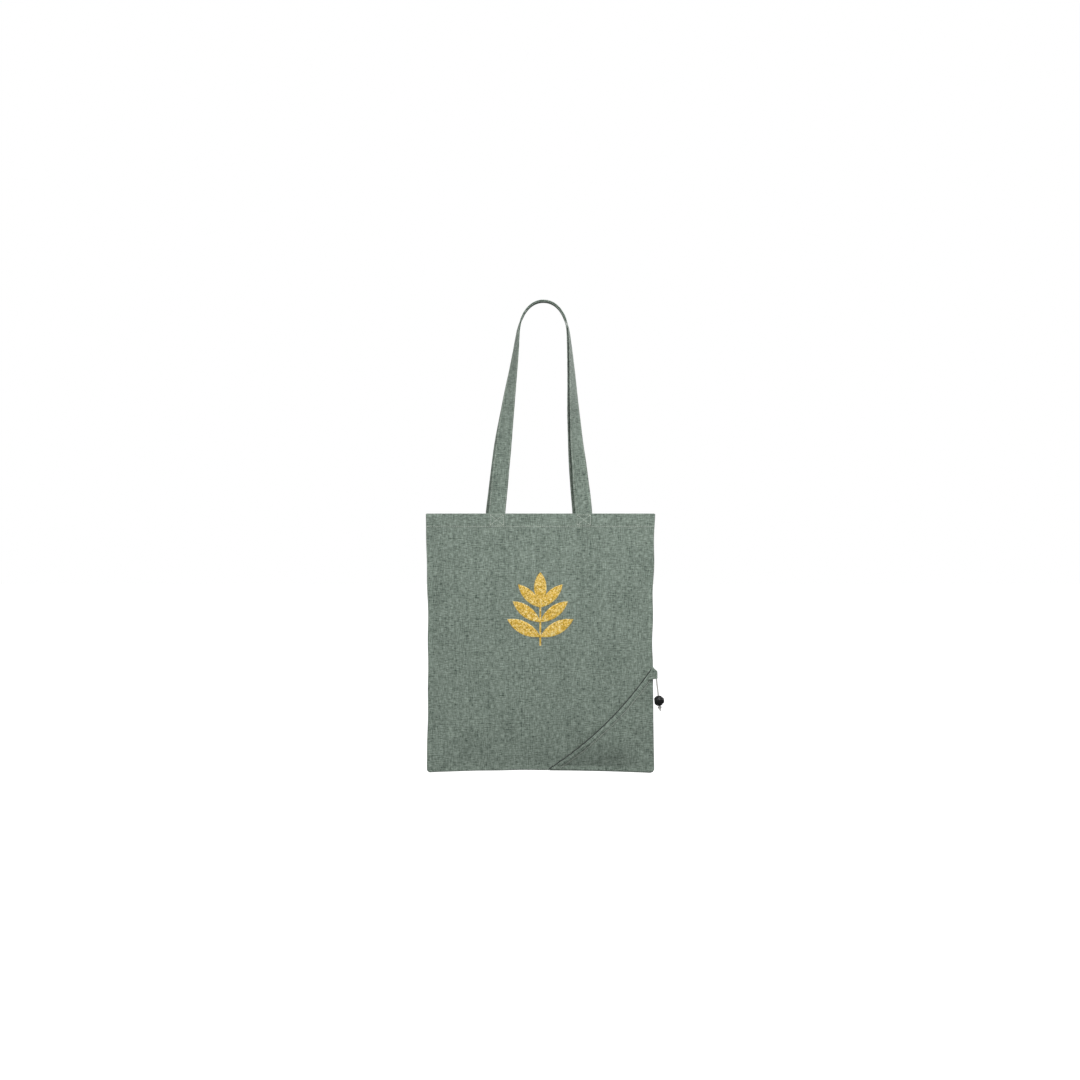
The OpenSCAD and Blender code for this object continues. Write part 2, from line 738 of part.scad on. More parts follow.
module lock_body() {
    color("#17181a") on_tail() translate([0, 0, -lock_drop])
    difference() {
        sphere(d = lock_d, $fn = 64);
        translate([-lock_flat - lock_d, -lock_d, -lock_d]) cube([lock_d, 2 * lock_d, 2 * lock_d]);
        translate([lock_mouth, -lock_d, -lock_d]) cube([lock_d, 2 * lock_d, 2 * lock_d]);
        translate([seat_x, 0, 0]) rotate([0, 90, 0])
        cylinder(r = plunger_r + plunger_fit, h = lock_d, $fn = 64);
        cylinder(d = cord_hole, h = 2 * lock_d, center = true, $fn = 48);
    }
}

// The straight part of the plunger stands out this far before its head is rounded
plunger_rim = 0.6;

// Half the section of the plunger: a rod with a domed head
module plunger_section() {
    steps = 12;
    head_len = lock_mouth + plunger_head;
    rim_len = lock_mouth + plunger_rim;
    polygon(concat(
        [[0, inner_end], [plunger_r, inner_end], [plunger_r, rim_len]],
        [for (i = [1:steps]) let(a = 90 * i / steps)
            [plunger_r * cos(a), rim_len + (head_len - rim_len) * sin(a)]]
    ));
}

module lock_plunger() {
    color("#1e1f22") on_tail() translate([0, 0, -lock_drop])
    difference() {
        rotate([0, 90, 0]) rotate_extrude($fn = 64) plunger_section();
        linear_extrude(2 * lock_d, center = true) cord_slot();
    }
}

// The slot is long enough for the cord to stay clear over the plunger's travel
module cord_slot() {
    circle(d = cord_hole, $fn = 48);
    translate([plunger_travel, 0]) circle(d = cord_hole, $fn = 48);
    translate([0, -cord_hole / 2]) square([plunger_travel, cord_hole]);
}

module lock_spring() {
    turns = 3;
    steps = 36;
    play = 0.1;
    room = inner_end - seat_x - spring_wire - 2 * play;
    path = [for (i = [0:steps]) let(a = 360 * turns * i / steps)
        [seat_x + play + spring_wire / 2 + room * i / steps, spring_r * cos(a), spring_r * sin(a)]];
    color("silver") on_tail() translate([0, 0, -lock_drop])
    tube(path, [for (p = path) spring_wire / 2], 6, [1, 0, 0]);
}

front_panel_upper();
front_panel_lower();
back_panel_upper();
back_panel_lower();
front_hem();
back_hem();
left_seam_upper();
right_seam_upper();
left_seam_lower();
right_seam_lower();
bottom_seam();
front_handle();
back_handle();
front_handle_left_end();
front_handle_right_end();
back_handle_left_end();
back_handle_right_end();
front_anchor_stitches();
back_anchor_stitches();
front_hem_stitches();
back_hem_stitches();
emblem();
corner_pocket();
pocket_channel();
channel_end();
channel_stitches();
drawcord();
cord_tail();
cord_knot();
lock_body();
lock_plunger();
lock_spring();
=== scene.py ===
"""Foldable cloth tote bag with two long handles and a drawstring corner pocket.

Sizes are in millimetres, and M turns them into metres. The view, the lights and the joint places read
from the record are in metres. A place on the bag is x, measured from the middle of the bag, q, the depth
below the rim, and y, which is negative at the front. place() turns it into metres.
"""

import json
import math

import bmesh
import bpy
import numpy as np
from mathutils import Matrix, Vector


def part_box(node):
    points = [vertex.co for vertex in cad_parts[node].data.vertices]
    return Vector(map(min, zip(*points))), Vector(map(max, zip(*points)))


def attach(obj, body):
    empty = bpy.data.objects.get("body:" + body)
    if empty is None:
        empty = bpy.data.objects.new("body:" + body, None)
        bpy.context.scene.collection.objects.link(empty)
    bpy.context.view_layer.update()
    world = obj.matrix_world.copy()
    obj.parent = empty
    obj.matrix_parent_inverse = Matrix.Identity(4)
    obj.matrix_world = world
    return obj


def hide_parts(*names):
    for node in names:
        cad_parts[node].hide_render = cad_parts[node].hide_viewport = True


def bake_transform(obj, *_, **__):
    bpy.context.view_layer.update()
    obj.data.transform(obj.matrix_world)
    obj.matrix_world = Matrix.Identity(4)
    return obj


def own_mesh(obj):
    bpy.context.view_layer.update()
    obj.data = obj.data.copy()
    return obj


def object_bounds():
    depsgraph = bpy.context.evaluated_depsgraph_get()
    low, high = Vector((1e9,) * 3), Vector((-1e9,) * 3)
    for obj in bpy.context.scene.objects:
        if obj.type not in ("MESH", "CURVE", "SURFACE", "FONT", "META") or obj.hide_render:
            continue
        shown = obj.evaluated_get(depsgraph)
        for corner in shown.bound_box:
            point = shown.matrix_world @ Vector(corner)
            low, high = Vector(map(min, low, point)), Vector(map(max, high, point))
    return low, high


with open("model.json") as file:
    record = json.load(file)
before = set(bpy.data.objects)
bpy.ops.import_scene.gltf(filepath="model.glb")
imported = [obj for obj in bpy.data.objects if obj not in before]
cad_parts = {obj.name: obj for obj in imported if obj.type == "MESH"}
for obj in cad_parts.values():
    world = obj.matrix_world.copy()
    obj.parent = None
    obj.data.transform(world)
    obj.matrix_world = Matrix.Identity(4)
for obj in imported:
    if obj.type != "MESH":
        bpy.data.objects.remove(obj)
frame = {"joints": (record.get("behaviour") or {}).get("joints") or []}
cad_low, cad_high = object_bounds()
bpy.ops.object.select_all(action="DESELECT")

M = 0.001
JOINTS = {joint["name"]: joint for joint in frame["joints"]}


def node_box(node):
    """Lowest and highest corner of a CAD node in millimetres."""
    low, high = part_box(node)
    return np.array(low) / M, np.array(high) / M


# ---------- Sizes taken from the frame ----------

UPPER_LOW, UPPER_HIGH = node_box("back_panel_upper")
LOWER_LOW = node_box("back_panel_lower")[0]
FRONT_LOW = node_box("front_panel_upper")[0]
MID_X = (UPPER_LOW[0] + UPPER_HIGH[0]) / 2
RIM_Z = UPPER_HIGH[2]
BAG_W = UPPER_HIGH[0] - UPPER_LOW[0]
BAG_H = RIM_Z - LOWER_LOW[2]
FOLD_Q = RIM_Z - JOINTS["body_fold"]["pos_m"][2] / M
FRONT_Y = -FRONT_LOW[1]
BACK_Y = UPPER_HIGH[1]

# ---------- Sizes of the cloth ----------

SIDE_PULL = 3.0
FOOT_PULL = 2.0
FOOT_ARCH = 4.0
CORNER_R = 6.0
BELLY = 7.6
ROLL = 90.0
SEAM_W = 8.0
FRONT_EDGE = FRONT_Y - BELLY
BACK_EDGE = BACK_Y - BELLY
CLOTH = 0.8
HEM_H = RIM_Z - node_box("back_hem")[0][2]
HEM_SEAM_Q = RIM_Z - (node_box("front_hem_stitches")[0][2] + node_box("front_hem_stitches")[1][2]) / 2
CELL = 3.0
EDGE_STEPS = [0.0, 0.12, 0.45, 1.0, 1.8, 3.2, 5.2, 7.6]
LINING_IN = 1.4
CORD_D = 2.4

FRONT, BACK = -1, 1


def place(x, y, q):
    """Points in metres for places on the bag."""
    x, y, q = np.broadcast_arrays(x, y, q)
    return np.stack([(x + MID_X) * M, y * M, (RIM_Z - q) * M], axis=-1)


def clamp01(a):
    return np.clip(a, 0.0, 1.0)


def ease(a):
    a = clamp01(a)
    return a * a * (3 - 2 * a)


def roll(a):
    return 1 - (1 - clamp01(a)) ** 2


def quarter(a):
    """A quarter circle that rises from 0 to 1."""
    return np.sqrt(1 - (1 - clamp01(a)) ** 2)


def waves(x, q, seed, count, across, along):
    """A smooth random height of about -1.5 to 1.5, from crossing waves of lengths in two ranges."""
    rng = np.random.default_rng(seed)
    total = 0.0
    for _ in range(count):
        kx = rng.choice([-1, 1]) / rng.uniform(*across)
        kq = 1 / rng.uniform(*along)
        total = total + np.sin(2 * math.pi * (kx * x + kq * q + rng.random()))
    return total / math.sqrt(count)


def unit(vectors):
    """Vectors, one in a row, each made one long."""
    return vectors / np.linalg.norm(vectors, axis=1)[:, None]


def run_along(path):
    """How far each point of a path is from its start, along the path."""
    return np.concatenate([[0], np.cumsum(np.linalg.norm(np.diff(path, axis=0), axis=1))])


def pairs(a, b):
    """Pairs of values of a and b."""
    return np.stack(np.broadcast_arrays(a, b), axis=-1)


# ---------- The outline and the surface of the bag ----------

def foot_q(u):
    return BAG_H - FOOT_ARCH * (1 - u * u)


def straight_w(q):
    """Half the width of the bag at depth q, as it is cut."""
    return BAG_W / 2 - SIDE_PULL * np.sin(math.pi * q / BAG_H) - FOOT_PULL * q / BAG_H


def half_w(q):
    """Half the width of the bag at depth q, with its bottom corners a little rounded."""
    return straight_w(q) - CORNER_R * (1 - quarter((BAG_H - q) / CORNER_R))


def anchors(side):
    """Places of the two strap ends of a side, from the frame."""
    name = "front" if side == FRONT else "back"
    boxes = [node_box(f"{name}_handle_{end}_end") for end in ("left", "right")]
    return [(low[0] + high[0]) / 2 - MID_X for low, high in boxes]


ANCHORS = {FRONT: anchors(FRONT), BACK: anchors(BACK)}


def drag_lines(side, x, q):
    """Folds that fan out below the strap ends, where they carry the bag."""
    total = 0.0
    for k, middle in enumerate(ANCHORS[side]):
        across = x - middle
        down = np.maximum(q - HEM_H * 0.6, 0.01)
        reach = np.hypot(across, down)
        angle = np.arctan2(across, down)
        fan = np.cos(5.2 * angle + 0.9 * k + 0.4 * side) * np.exp(-((angle / 1.1) ** 2))
        total = total + 0.55 * fan * ease((reach - 12) / 40) * np.exp(-reach / 120)
    return total


def margins(x, q):
    """How far a place lies inside the side edge and above the bottom edge."""
    width = half_w(q)
    return width - np.abs(x), foot_q(x / width) - q


def pucker_beside(wave, near, far):
    """Puckers along a seam that is near, which die out away from it and towards the other seam."""
    return 0.22 * wave * ease(near / 4) * np.exp(-near / 16) * ease(far / 20)


def relief(side, x, q):
    """Soft folds, creases and puckers of the hanging cloth, outwards from its smooth shape."""
    edge, foot = margins(x, q)
    free = ease(edge / 40) * ease(foot / 45)
    hem = ease((HEM_H + 8 - q) / 12)
    seed = 11 if side == FRONT else 47
    soft = 0.42 * waves(x, q, seed, 9, (60, 150), (170, 460))
    small = 0.10 * waves(x, q, seed + 1, 14, (16, 44), (20, 70))
    folds = (soft * (1 - 0.5 * hem) + small * (1 - 0.6 * hem)) * free
    puckers = pucker_beside(waves(0.2 * x, q, seed + 2, 5, (60, 90), (14, 30)), edge, foot)
    puckers = puckers + pucker_beside(waves(x, 0.2 * q, seed + 3, 5, (14, 30), (60, 90)), foot, edge)
    stitch_pull = 0.3 * ease((HEM_SEAM_Q + 1.5 - q) / 2.5) - 0.32 * np.exp(-(((q - HEM_SEAM_Q) / 1.8) ** 2))
    ripple = 0.12 * waves(x, 0.0 * q, seed + 4, 4, (9, 14), (60, 90))
    ripple = ripple * np.exp(-np.abs(q - HEM_SEAM_Q) / 7)
    sewn = ease(edge / 10)
    return folds + drag_lines(side, x, q) * free + puckers + (stitch_pull + ripple) * sewn


def roll_off(x, q, side_run, foot_run):
    """From 0 on the seams to 1 well inside them."""
    edge, foot = margins(x, q)
    return roll((edge - SEAM_W) / side_run) * roll((foot - SEAM_W) / foot_run)


def thickness_at_edges(x, q, radius):
    """From 0 on the seams to radius a little way inside them."""
    edge, foot = margins(x, q)
    return radius * quarter(edge / radius) * quarter(foot / radius)


def stand(side, x, q):
    """How far the outer face of a side stands from the middle plane."""
    edge = FRONT_EDGE if side == FRONT else BACK_EDGE
    return thickness_at_edges(x, q, edge) + BELLY * roll_off(x, q, ROLL, ROLL) + relief(side, x, q)


# ---------- Meshes ----------

MERGE = 1e-6
FLAT = 1e-9
SHARP = 58


def new_piece(name, points, faces, uvs=None):
    """A smooth mesh object from points in metres and faces, with a UV in metres for each corner."""
    mesh = bpy.data.meshes.new(name)
    mesh.from_pydata([tuple(p) for p in points], [], [tuple(int(i) for i in f) for f in faces])
    if uvs is not None:
        layer = mesh.uv_layers.new(name="cloth")
        layer.data.foreach_set("uv", np.asarray(uvs, np.float32).ravel())
    mesh.shade_smooth()
    piece = bpy.data.objects.new(name, mesh)
    bpy.context.scene.collection.objects.link(piece)
    return piece


def mend(piece, work=None):
    """Runs work on a piece's mesh, turns its normals outwards and shades it smooth."""
    bm = bmesh.new()
    bm.from_mesh(piece.data)
    if work:
        work(bm)
    bmesh.ops.recalc_face_normals(bm, faces=bm.faces)
    bm.to_mesh(piece.data)
    bm.free()
    piece.data.shade_smooth()
    return piece


def merge_doubles(bm):
    bmesh.ops.remove_doubles(bm, verts=bm.verts, dist=MERGE)
    bmesh.ops.dissolve_degenerate(bm, edges=bm.edges, dist=FLAT)
    loose = [v for v in bm.verts if not v.link_faces]
    bmesh.ops.delete(bm, geom=loose, context="VERTS")


def tidy(piece):
    """Merges doubled points, drops faces that this has closed up and marks the sharp edges."""
    mend(piece, merge_doubles)
    piece.data.set_sharp_from_angle(angle=math.radians(SHARP))
    return piece


def fill_holes(bm):
    bmesh.ops.holes_fill(bm, edges=[e for e in bm.edges if e.is_boundary], sides=0)


def grid_faces(rows, cols, wrap_rows=False, wrap_cols=False):
    """Corners of the faces between rows and columns of points, as indices of points and of UVs.
    A wrapped direction has one more row or column of UVs than of points."""
    faces = []
    corners = []
    uv_cols = cols + 1 if wrap_cols else cols
    for i in range(rows if wrap_rows else rows - 1):
        for j in range(cols if wrap_cols else cols - 1):
            ring = [(i, j), (i, j + 1), (i + 1, j + 1), (i + 1, j)]
            faces.append([(a % rows) * cols + b % cols for a, b in ring])
            corners.extend(a * uv_cols + b for a, b in ring)
    return faces, corners


def grid_piece(name, points, uvs, wrap_rows=False, wrap_cols=False):
    """A piece from a grid of points, and a grid of UVs that is one longer where it wraps."""
    rows, cols = points.shape[:2]
    faces, corners = grid_faces(rows, cols, wrap_rows, wrap_cols)
    flat = uvs.reshape(-1, 2)[np.array(corners)]
    return new_piece(name, points.reshape(-1, 3), faces, flat)


def slab_piece(name, outer, inner, uvs):
    """A closed sheet between two grids of points."""
    rows, cols = outer.shape[:2]
    points = np.concatenate([outer, inner[::-1]], axis=0)
    both = np.concatenate([uvs, uvs[::-1], uvs[:1]], axis=0)
    faces, corners = grid_faces(2 * rows, cols, wrap_rows=True)
    uv_list = list(both.reshape(-1, 2)[np.array(corners)])
    for j in (0, cols - 1):
        for i in range(rows - 1):
            mirror = 2 * rows - 1 - i
            ring = [(i, j), (i + 1, j), (mirror - 1, j), (mirror, j)]
            faces.append([a * cols + b for a, b in ring])
            uv_list.extend(both[a, b] for a, b in ring)
    return tidy(new_piece(name, points.reshape(-1, 3), faces, uv_list))


def ring_around(sides, side, other):
    """Directions all around each point of a path, from two directions square to the path."""
    angle = 2 * math.pi * np.arange(sides) / sides
    return np.cos(angle)[None, :, None] * side[:, None] + np.sin(angle)[None, :, None] * other[:, None]


def tube_piece(name, path, radius, sides=12, up=(0.0, 1.0, 0.0)):
    """A round, closed tube in metres along a path, with its UV running along and around it."""
    path = np.asarray(path, float)
    radius = np.broadcast_to(np.asarray(radius, float), len(path))
    ahead = unit(np.gradient(path, axis=0))
    side = unit(np.cross(ahead, np.array(up)))
    points = path[:, None] + radius[:, None, None] * ring_around(sides, side, np.cross(side, ahead))
    around = np.arange(sides + 1) / sides * 2 * math.pi * radius.max()
    uvs = pairs(around[None, :], run_along(path)[:, None])
    return mend(grid_piece(name, points, uvs, wrap_cols=True), fill_holes)


def select_only(*pieces):
    """Selects these pieces and makes the first one active."""
    bpy.ops.object.select_all(action="DESELECT")
    for piece in pieces:
        piece.select_set(True)
    if pieces:
        bpy.context.view_layer.objects.active = pieces[0]


def join(*pieces):
    """Joins the other pieces into the first."""
    select_only(*pieces)
    bpy.ops.object.join()
    select_only()
    return pieces[0]


# ---------- Camera ----------

VIEW_DISTANCE = 4.175
VIEW_MIDDLE = (-0.0055, -0.3874)
LENS = 85
SENSOR = 36


def make_camera():
    data = bpy.data.cameras.new("camera")
    data.lens = LENS
    data.sensor_width = SENSOR
    camera = bpy.data.objects.new("camera", data)
    camera.location = (VIEW_MIDDLE[0], -VIEW_DISTANCE, VIEW_MIDDLE[1])
    camera.rotation_euler = (math.radians(90), 0, 0)
    bpy.context.scene.collection.objects.link(camera)
    bpy.context.scene.camera = camera


make_camera()


# ---------- Materials ----------

class Shade:
    """A varying value or colour in a material. Sums of values add their nodes."""

    def __init__(self, paint, socket):
        self.paint = paint
        self.socket = socket

    def math(self, operation, a, b):
        return self.paint.node("ShaderNodeMath", {"operation": operation}, {0: a, 1: b})

    def __add__(self, other):
        return self.math("ADD", self, other)

    def __radd__(self, other):
        return self.math("ADD", other, self)

    def __sub__(self, other):
        return self.math("SUBTRACT", self, other)

    def __rsub__(self, other):
        return self.math("SUBTRACT", other, self)

    def __mul__(self, other):
        return self.math("MULTIPLY", self, other)

    def __rmul__(self, other):
        return self.math("MULTIPLY", other, self)


class Paint:
    """A material, and the nodes that are added to it."""

    def __init__(self, name, **constants):
        self.material = bpy.data.materials.new(name)
        self.material.use_nodes = True
        self.tree = self.material.node_tree
        self.shader = self.tree.nodes["Principled BSDF"]
        for socket, value in constants.items():
            self.shader.inputs[socket.replace("_", " ")].default_value = value

    def node(self, kind, settings=None, inputs=None, output=0):
        """Adds a node: first its settings, then the values or links of its sockets."""
        added = self.tree.nodes.new(kind)
        for key, value in (settings or {}).items():
            setattr(added, key, value)
        for key, value in (inputs or {}).items():
            if isinstance(value, Shade):
                self.tree.links.new(value.socket, added.inputs[key])
            else:
                added.inputs[key].default_value = value
        return Shade(self, added.outputs[output])

    def feed(self, socket, value):
        self.tree.links.new(value.socket, self.shader.inputs[socket])

    def uv(self):
        return self.node("ShaderNodeUVMap", {"uv_map": "cloth"})

    def position(self):
        return self.node("ShaderNodeTexCoord", output="Object")

    def vector(self, operation, *values):
        return self.node("ShaderNodeVectorMath", {"operation": operation}, dict(enumerate(values)))

    def scaled(self, vector, *scale):
        return self.vector("MULTIPLY", vector, scale)

    def noise(self, vector, size, detail=2.0, roughness=0.5):
        """Even noise from 0 to 1, with features of a size in metres in each direction."""
        coords = self.scaled(vector, *[1 / s for s in size])
        return self.node("ShaderNodeTexNoise", {"noise_dimensions": "3D"},
                         {"Vector": coords, "Scale": 1.0, "Detail": detail, "Roughness": roughness})

    def part(self, vector, axis):
        return self.node("ShaderNodeSeparateXYZ", None, {0: vector}, output=axis)

    def sine(self, value):
        return self.node("ShaderNodeMath", {"operation": "SINE"}, {0: value})

    def limited(self, value, low, high):
        return self.node("ShaderNodeMapRange", {"clamp": True}, {0: value, 1: low, 2: high})

    def mixed(self, share, first, second):
        """A colour between two colours."""
        return self.node("ShaderNodeMix", {"data_type": "RGBA", "clamp_factor": True},
                         {0: share, 6: first, 7: second}, output=2)

    def bumped(self, height, distance, strength=1.0):
        sockets = {"Height": height, "Distance": distance, "Strength": strength}
        self.feed("Normal", self.node("ShaderNodeBump", None, sockets))


YARN = 0.00062
BRAID_YARNS = 4
BRAID_STEP = 0.0019


def cloth_paint(name, light, dark, contrast):
    """A plain weave of flecked yarns, thicker in places, in a dark and a light shade."""
    paint = Paint(name, Roughness=0.92, Sheen_Weight=0.22, Sheen_Roughness=0.55, Specular_IOR_Level=0.25)
    uv = paint.uv()
    weft = paint.noise(uv, (0.0085, 0.0017, 1), detail=2)
    warp = paint.noise(uv, (0.0017, 0.0095, 1), detail=2)
    yarn = paint.noise(uv, (0.0052, 0.0006, 1), detail=1)
    fleck = paint.noise(uv, (0.0019, 0.0019, 1), detail=2, roughness=0.6)
    blot = paint.noise(uv, (0.0105, 0.0095, 1), detail=2)
    mottle = paint.noise(uv, (0.046, 0.052, 1), detail=2)
    band = paint.noise(uv, (0.0045, 0.21, 1), detail=1)
    slub = paint.limited(paint.noise(uv, (0.019, 0.0019, 1), detail=0), 0.70, 0.80)
    tone = 0.5 - 0.3 * slub + contrast * (
        1.35 * (weft - 0.5) + 1.25 * (warp - 0.5) + 0.75 * (fleck - 0.5) + 0.5 * (yarn - 0.5)
        + 0.15 * (blot - 0.5) + 0.3 * (mottle - 0.5) + 0.35 * (band - 0.5)
    )
    paint.feed("Base Color", paint.mixed(tone, dark, light))
    across = paint.sine(paint.part(uv, 0) * (math.pi / YARN))
    down = paint.sine(paint.part(uv, 1) * (math.pi / YARN))
    height = 0.5 * (across * down) + 1.3 * weft + 1.1 * warp + 0.8 * fleck
    paint.bumped(height, 0.00022, 0.8)
    return paint.material


def thread_paint():
    paint = Paint("sewing_thread", Roughness=0.7, Sheen_Weight=0.2)
    fleck = paint.noise(paint.position(), (0.0012, 0.0012, 0.0012))
    paint.feed("Base Color", paint.mixed(fleck, (0.42, 0.47, 0.41, 1), (0.66, 0.70, 0.62, 1)))
    return paint.material


def glitter_paint():
    """Flakes of gold in clear ink, each turned its own way."""
    paint = Paint("gold_glitter", Metallic=0.3, Coat_Weight=0.3, Coat_Roughness=0.25)
    uv = paint.uv()
    flakes = paint.scaled(uv, 1, 1, 0)
    fine = paint.node("ShaderNodeTexVoronoi", None, {"Vector": flakes, "Scale": 1500.0}, output="Color")
    coarse = paint.node("ShaderNodeTexVoronoi", None, {"Vector": flakes, "Scale": 560.0}, output="Color")
    shine = paint.part(fine, 0)
    clump = paint.part(coarse, 1)
    wash = paint.noise(uv, (0.0042, 0.0042, 1), detail=2)
    tone = 0.34 * shine + 0.66 * clump + 0.7 * (wash - 0.5)
    low = paint.mixed(paint.limited(tone, 0.02, 0.5), (0.36, 0.20, 0.012, 1), (0.84, 0.52, 0.05, 1))
    paint.feed("Base Color", paint.mixed(paint.limited(tone, 0.5, 0.95), low, (1.0, 0.86, 0.42, 1)))
    paint.feed("Roughness", 0.28 + 0.3 * shine)
    tilt = paint.vector("SUBTRACT", fine, (0.5, 0.5, 0.5))
    normal = paint.node("ShaderNodeNewGeometry", output="Normal")
    turned = paint.vector("MULTIPLY_ADD", tilt, (0.5, 0.5, 0.5), normal)
    paint.feed("Normal", paint.vector("NORMALIZE", turned))
    return paint.material


def cord_paint():
    """A round braid of white yarns, with painted shade: the yarns are coloured light to mid grey, darker in
    the grooves of the braid.
    """
    paint = Paint("white_braid", Roughness=0.75, Sheen_Weight=0.3)
    uv = paint.uv()
    around = paint.part(uv, 0) * (2 * math.pi * BRAID_YARNS / (math.pi * CORD_D * M))
    along = paint.part(uv, 1) * (2 * math.pi / BRAID_STEP)
    braid = paint.sine(around + along) * paint.sine(around - along)
    fibre = paint.noise(uv, (0.0003, 0.0016, 1))
    height = 0.5 + 0.5 * braid
    # Painted shade: the colour follows the braid's height, so the grooves between the white yarns are
    # darker.
    tone = 0.7 * height + 0.4 * fibre
    paint.feed("Base Color", paint.mixed(tone, (0.36, 0.355, 0.34, 1), (0.66, 0.65, 0.62, 1)))
    paint.bumped(height + 0.4 * fibre, 0.00025)
    return paint.material


def plastic_paint():
    paint = Paint("black_plastic", Specular_IOR_Level=0.35)
    position = paint.position()
    grain = paint.noise(position, (0.00035, 0.00035, 0.00035))
    rub = paint.noise(position, (0.004, 0.004, 0.004), detail=3)
    paint.feed("Base Color", paint.mixed(rub, (0.0025, 0.0028, 0.003, 1), (0.009, 0.0098, 0.0104, 1)))
    paint.feed("Roughness", 0.3 + 0.22 * rub)
    paint.bumped(grain, 0.00003)
    return paint.material


def steel_paint():
    paint = Paint("spring_wire", Metallic=1.0)
    drawn = paint.noise(paint.position(), (0.0004, 0.002, 0.002))
    paint.feed("Base Color", paint.mixed(drawn, (0.42, 0.43, 0.45, 1), (0.66, 0.67, 0.68, 1)))
    paint.feed("Roughness", 0.22 + 0.25 * drawn)
    return paint.material


PAINTS = {
    "bag_cloth": cloth_paint("melange_cloth", (0.35, 0.427, 0.363, 1), (0.056, 0.081, 0.063, 1), 1.0),
    "strap_cloth": cloth_paint("melange_strap", (0.33, 0.402, 0.342, 1), (0.052, 0.076, 0.059, 1), 1.0),
    "seam_cloth": cloth_paint("raw_seam_cloth", (0.28, 0.35, 0.29, 1), (0.045, 0.07, 0.052, 1), 1.1),
    "thread": thread_paint(),
    "glitter_print": glitter_paint(),
    "cord": cord_paint(),
    "lock_plastic": plastic_paint(),
    "spring_steel": steel_paint(),
}

# Painted shade: a near-black copy of the cloth on the turned-under edge of the pocket's mouth, standing in
# for the shadow in the gap beneath that edge.
MOUTH_PAINTED_SHADE = cloth_paint("mouth_painted_shade_cloth", (0.045, 0.058, 0.05, 1), (0.008, 0.011, 0.009, 1), 1.0)


def finish_with(piece, slot):
    """Gives a piece the finish of one of the record's material slots."""
    piece.data.materials.clear()
    piece.data.materials.append(PAINTS[slot])
    return piece


# ---------- Drawcord tail ----------

PIVOT = np.array(JOINTS["tail_swing"]["pos_m"])
TAIL_UP = np.array(JOINTS["lock_slide"]["axis"])
TAIL_SIDE = np.array([TAIL_UP[2], 0.0, -TAIL_UP[0]])


def on_tail(x, y, z):
    """A point in metres for a place on the straight tail, in millimetres from its pivot."""
    return PIVOT + M * (x * TAIL_SIDE + y * np.array([0.0, 1.0, 0.0]) + z * TAIL_UP)


TAIL_DEPTHS = [0, 3, 6, 10, 14, 18, 22, 26, 30, 34, 38, 42, 46]
LOCK_LOW, LOCK_HIGH = node_box("lock_body")
LOCK_DROP = (PIVOT[2] / M - (LOCK_LOW[2] + LOCK_HIGH[2]) / 2) / TAIL_UP[2]
KNOT_LOW, KNOT_HIGH = node_box("cord_knot")
KNOT_D = KNOT_HIGH[2] - KNOT_LOW[2]
KNOT_DROP = (PIVOT[2] / M - (KNOT_LOW[2] + KNOT_HIGH[2]) / 2) / TAIL_UP[2]


def make_tail():
    """The free end of the drawcord, from the tab down through the lock into its knot."""
    depths = np.array(TAIL_DEPTHS + [KNOT_DROP - KNOT_D / 2 + 1.1], float)
    path = np.array([on_tail(0, 0, -d) for d in depths])
    fine = np.linspace(0, depths[-1], 60)
    smooth = np.stack([np.interp(fine, depths, path[:, k]) for k in range(3)], axis=-1)
    tail = tube_piece("drawcord_tail", smooth, CORD_D / 2 * M, sides=16)
    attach(tail, "tail")
    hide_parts("cord_tail")
    finish_with(tail, "cord")
    return tail, smooth


def make_knot():
    """An overhand knot pulled tight, with the cord's cut end below it."""
    size = 0.78
    turn = np.linspace(0, 2 * math.pi, 150)
    x = size * (np.sin(turn) + 2 * np.sin(2 * turn))
    z = size * (np.cos(turn) - 2 * np.cos(2 * turn)) * 0.92
    y = -size * 1.15 * np.sin(3 * turn)
    path = np.array([on_tail(a, b, c - KNOT_DROP) for a, b, c in zip(x, y, z)])
    lump = tube_piece("overhand_knot", path[:-1], CORD_D * 0.44 * M, sides=14)
    end = np.array([on_tail(0.5 * math.sin(d / 3), 0.2, -KNOT_DROP - d) for d in np.linspace(0, 5.6, 12)])
    radius = np.full(12, CORD_D * 0.46 * M)
    radius[-2:] = [CORD_D * 0.42 * M, CORD_D * 0.25 * M]
    join(lump, tube_piece("cord_tip", end, radius, sides=14))
    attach(lump, "tail")
    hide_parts("cord_knot")
    finish_with(lump, "cord")
    return lump


tail, tail_path = make_tail()
knot = make_knot()


# ---------- Cord lock ----------

LOCK_D = 17.2 * M
LOCK_FLAT = 7.4 * M
LOCK_MOUTH = 5.2 * M
SEAT_X = -6.3 * M
BORE_R = 5.48 * M
PLUNGER_R = 5.4 * M
PLUNGER_RIM = 5.8 * M
PLUNGER_END = 8.8 * M
PLUNGER_IN = -2.75 * M
PLUNGER_TRAVEL = 2.0 * M
CORD_HOLE = 2.9 * M
COIL_R = 2.8
COIL_WIRE = 0.5
COIL_TURNS = 3
RIB_STEP = 3
LOCK_SIDES = 72
BUTTON_SIDES = 64
HOLE_SIDES = 48


def picked(piece, kind, wanted):
    """Selects the faces, edges or corners of a piece in edit mode that wanted() takes by their place."""
    bpy.ops.mesh.select_mode(type=kind)
    bpy.ops.mesh.select_all(action="DESELECT")
    bm = bmesh.from_edit_mesh(piece.data)
    for item in {"VERT": bm.verts, "EDGE": bm.edges, "FACE": bm.faces}[kind]:
        middle = item.co if kind == "VERT" else sum((v.co for v in item.verts), Vector()) / len(item.verts)
        item.select_set(bool(wanted(middle)))
    bm.select_flush_mode()
    bmesh.update_edit_mesh(piece.data)


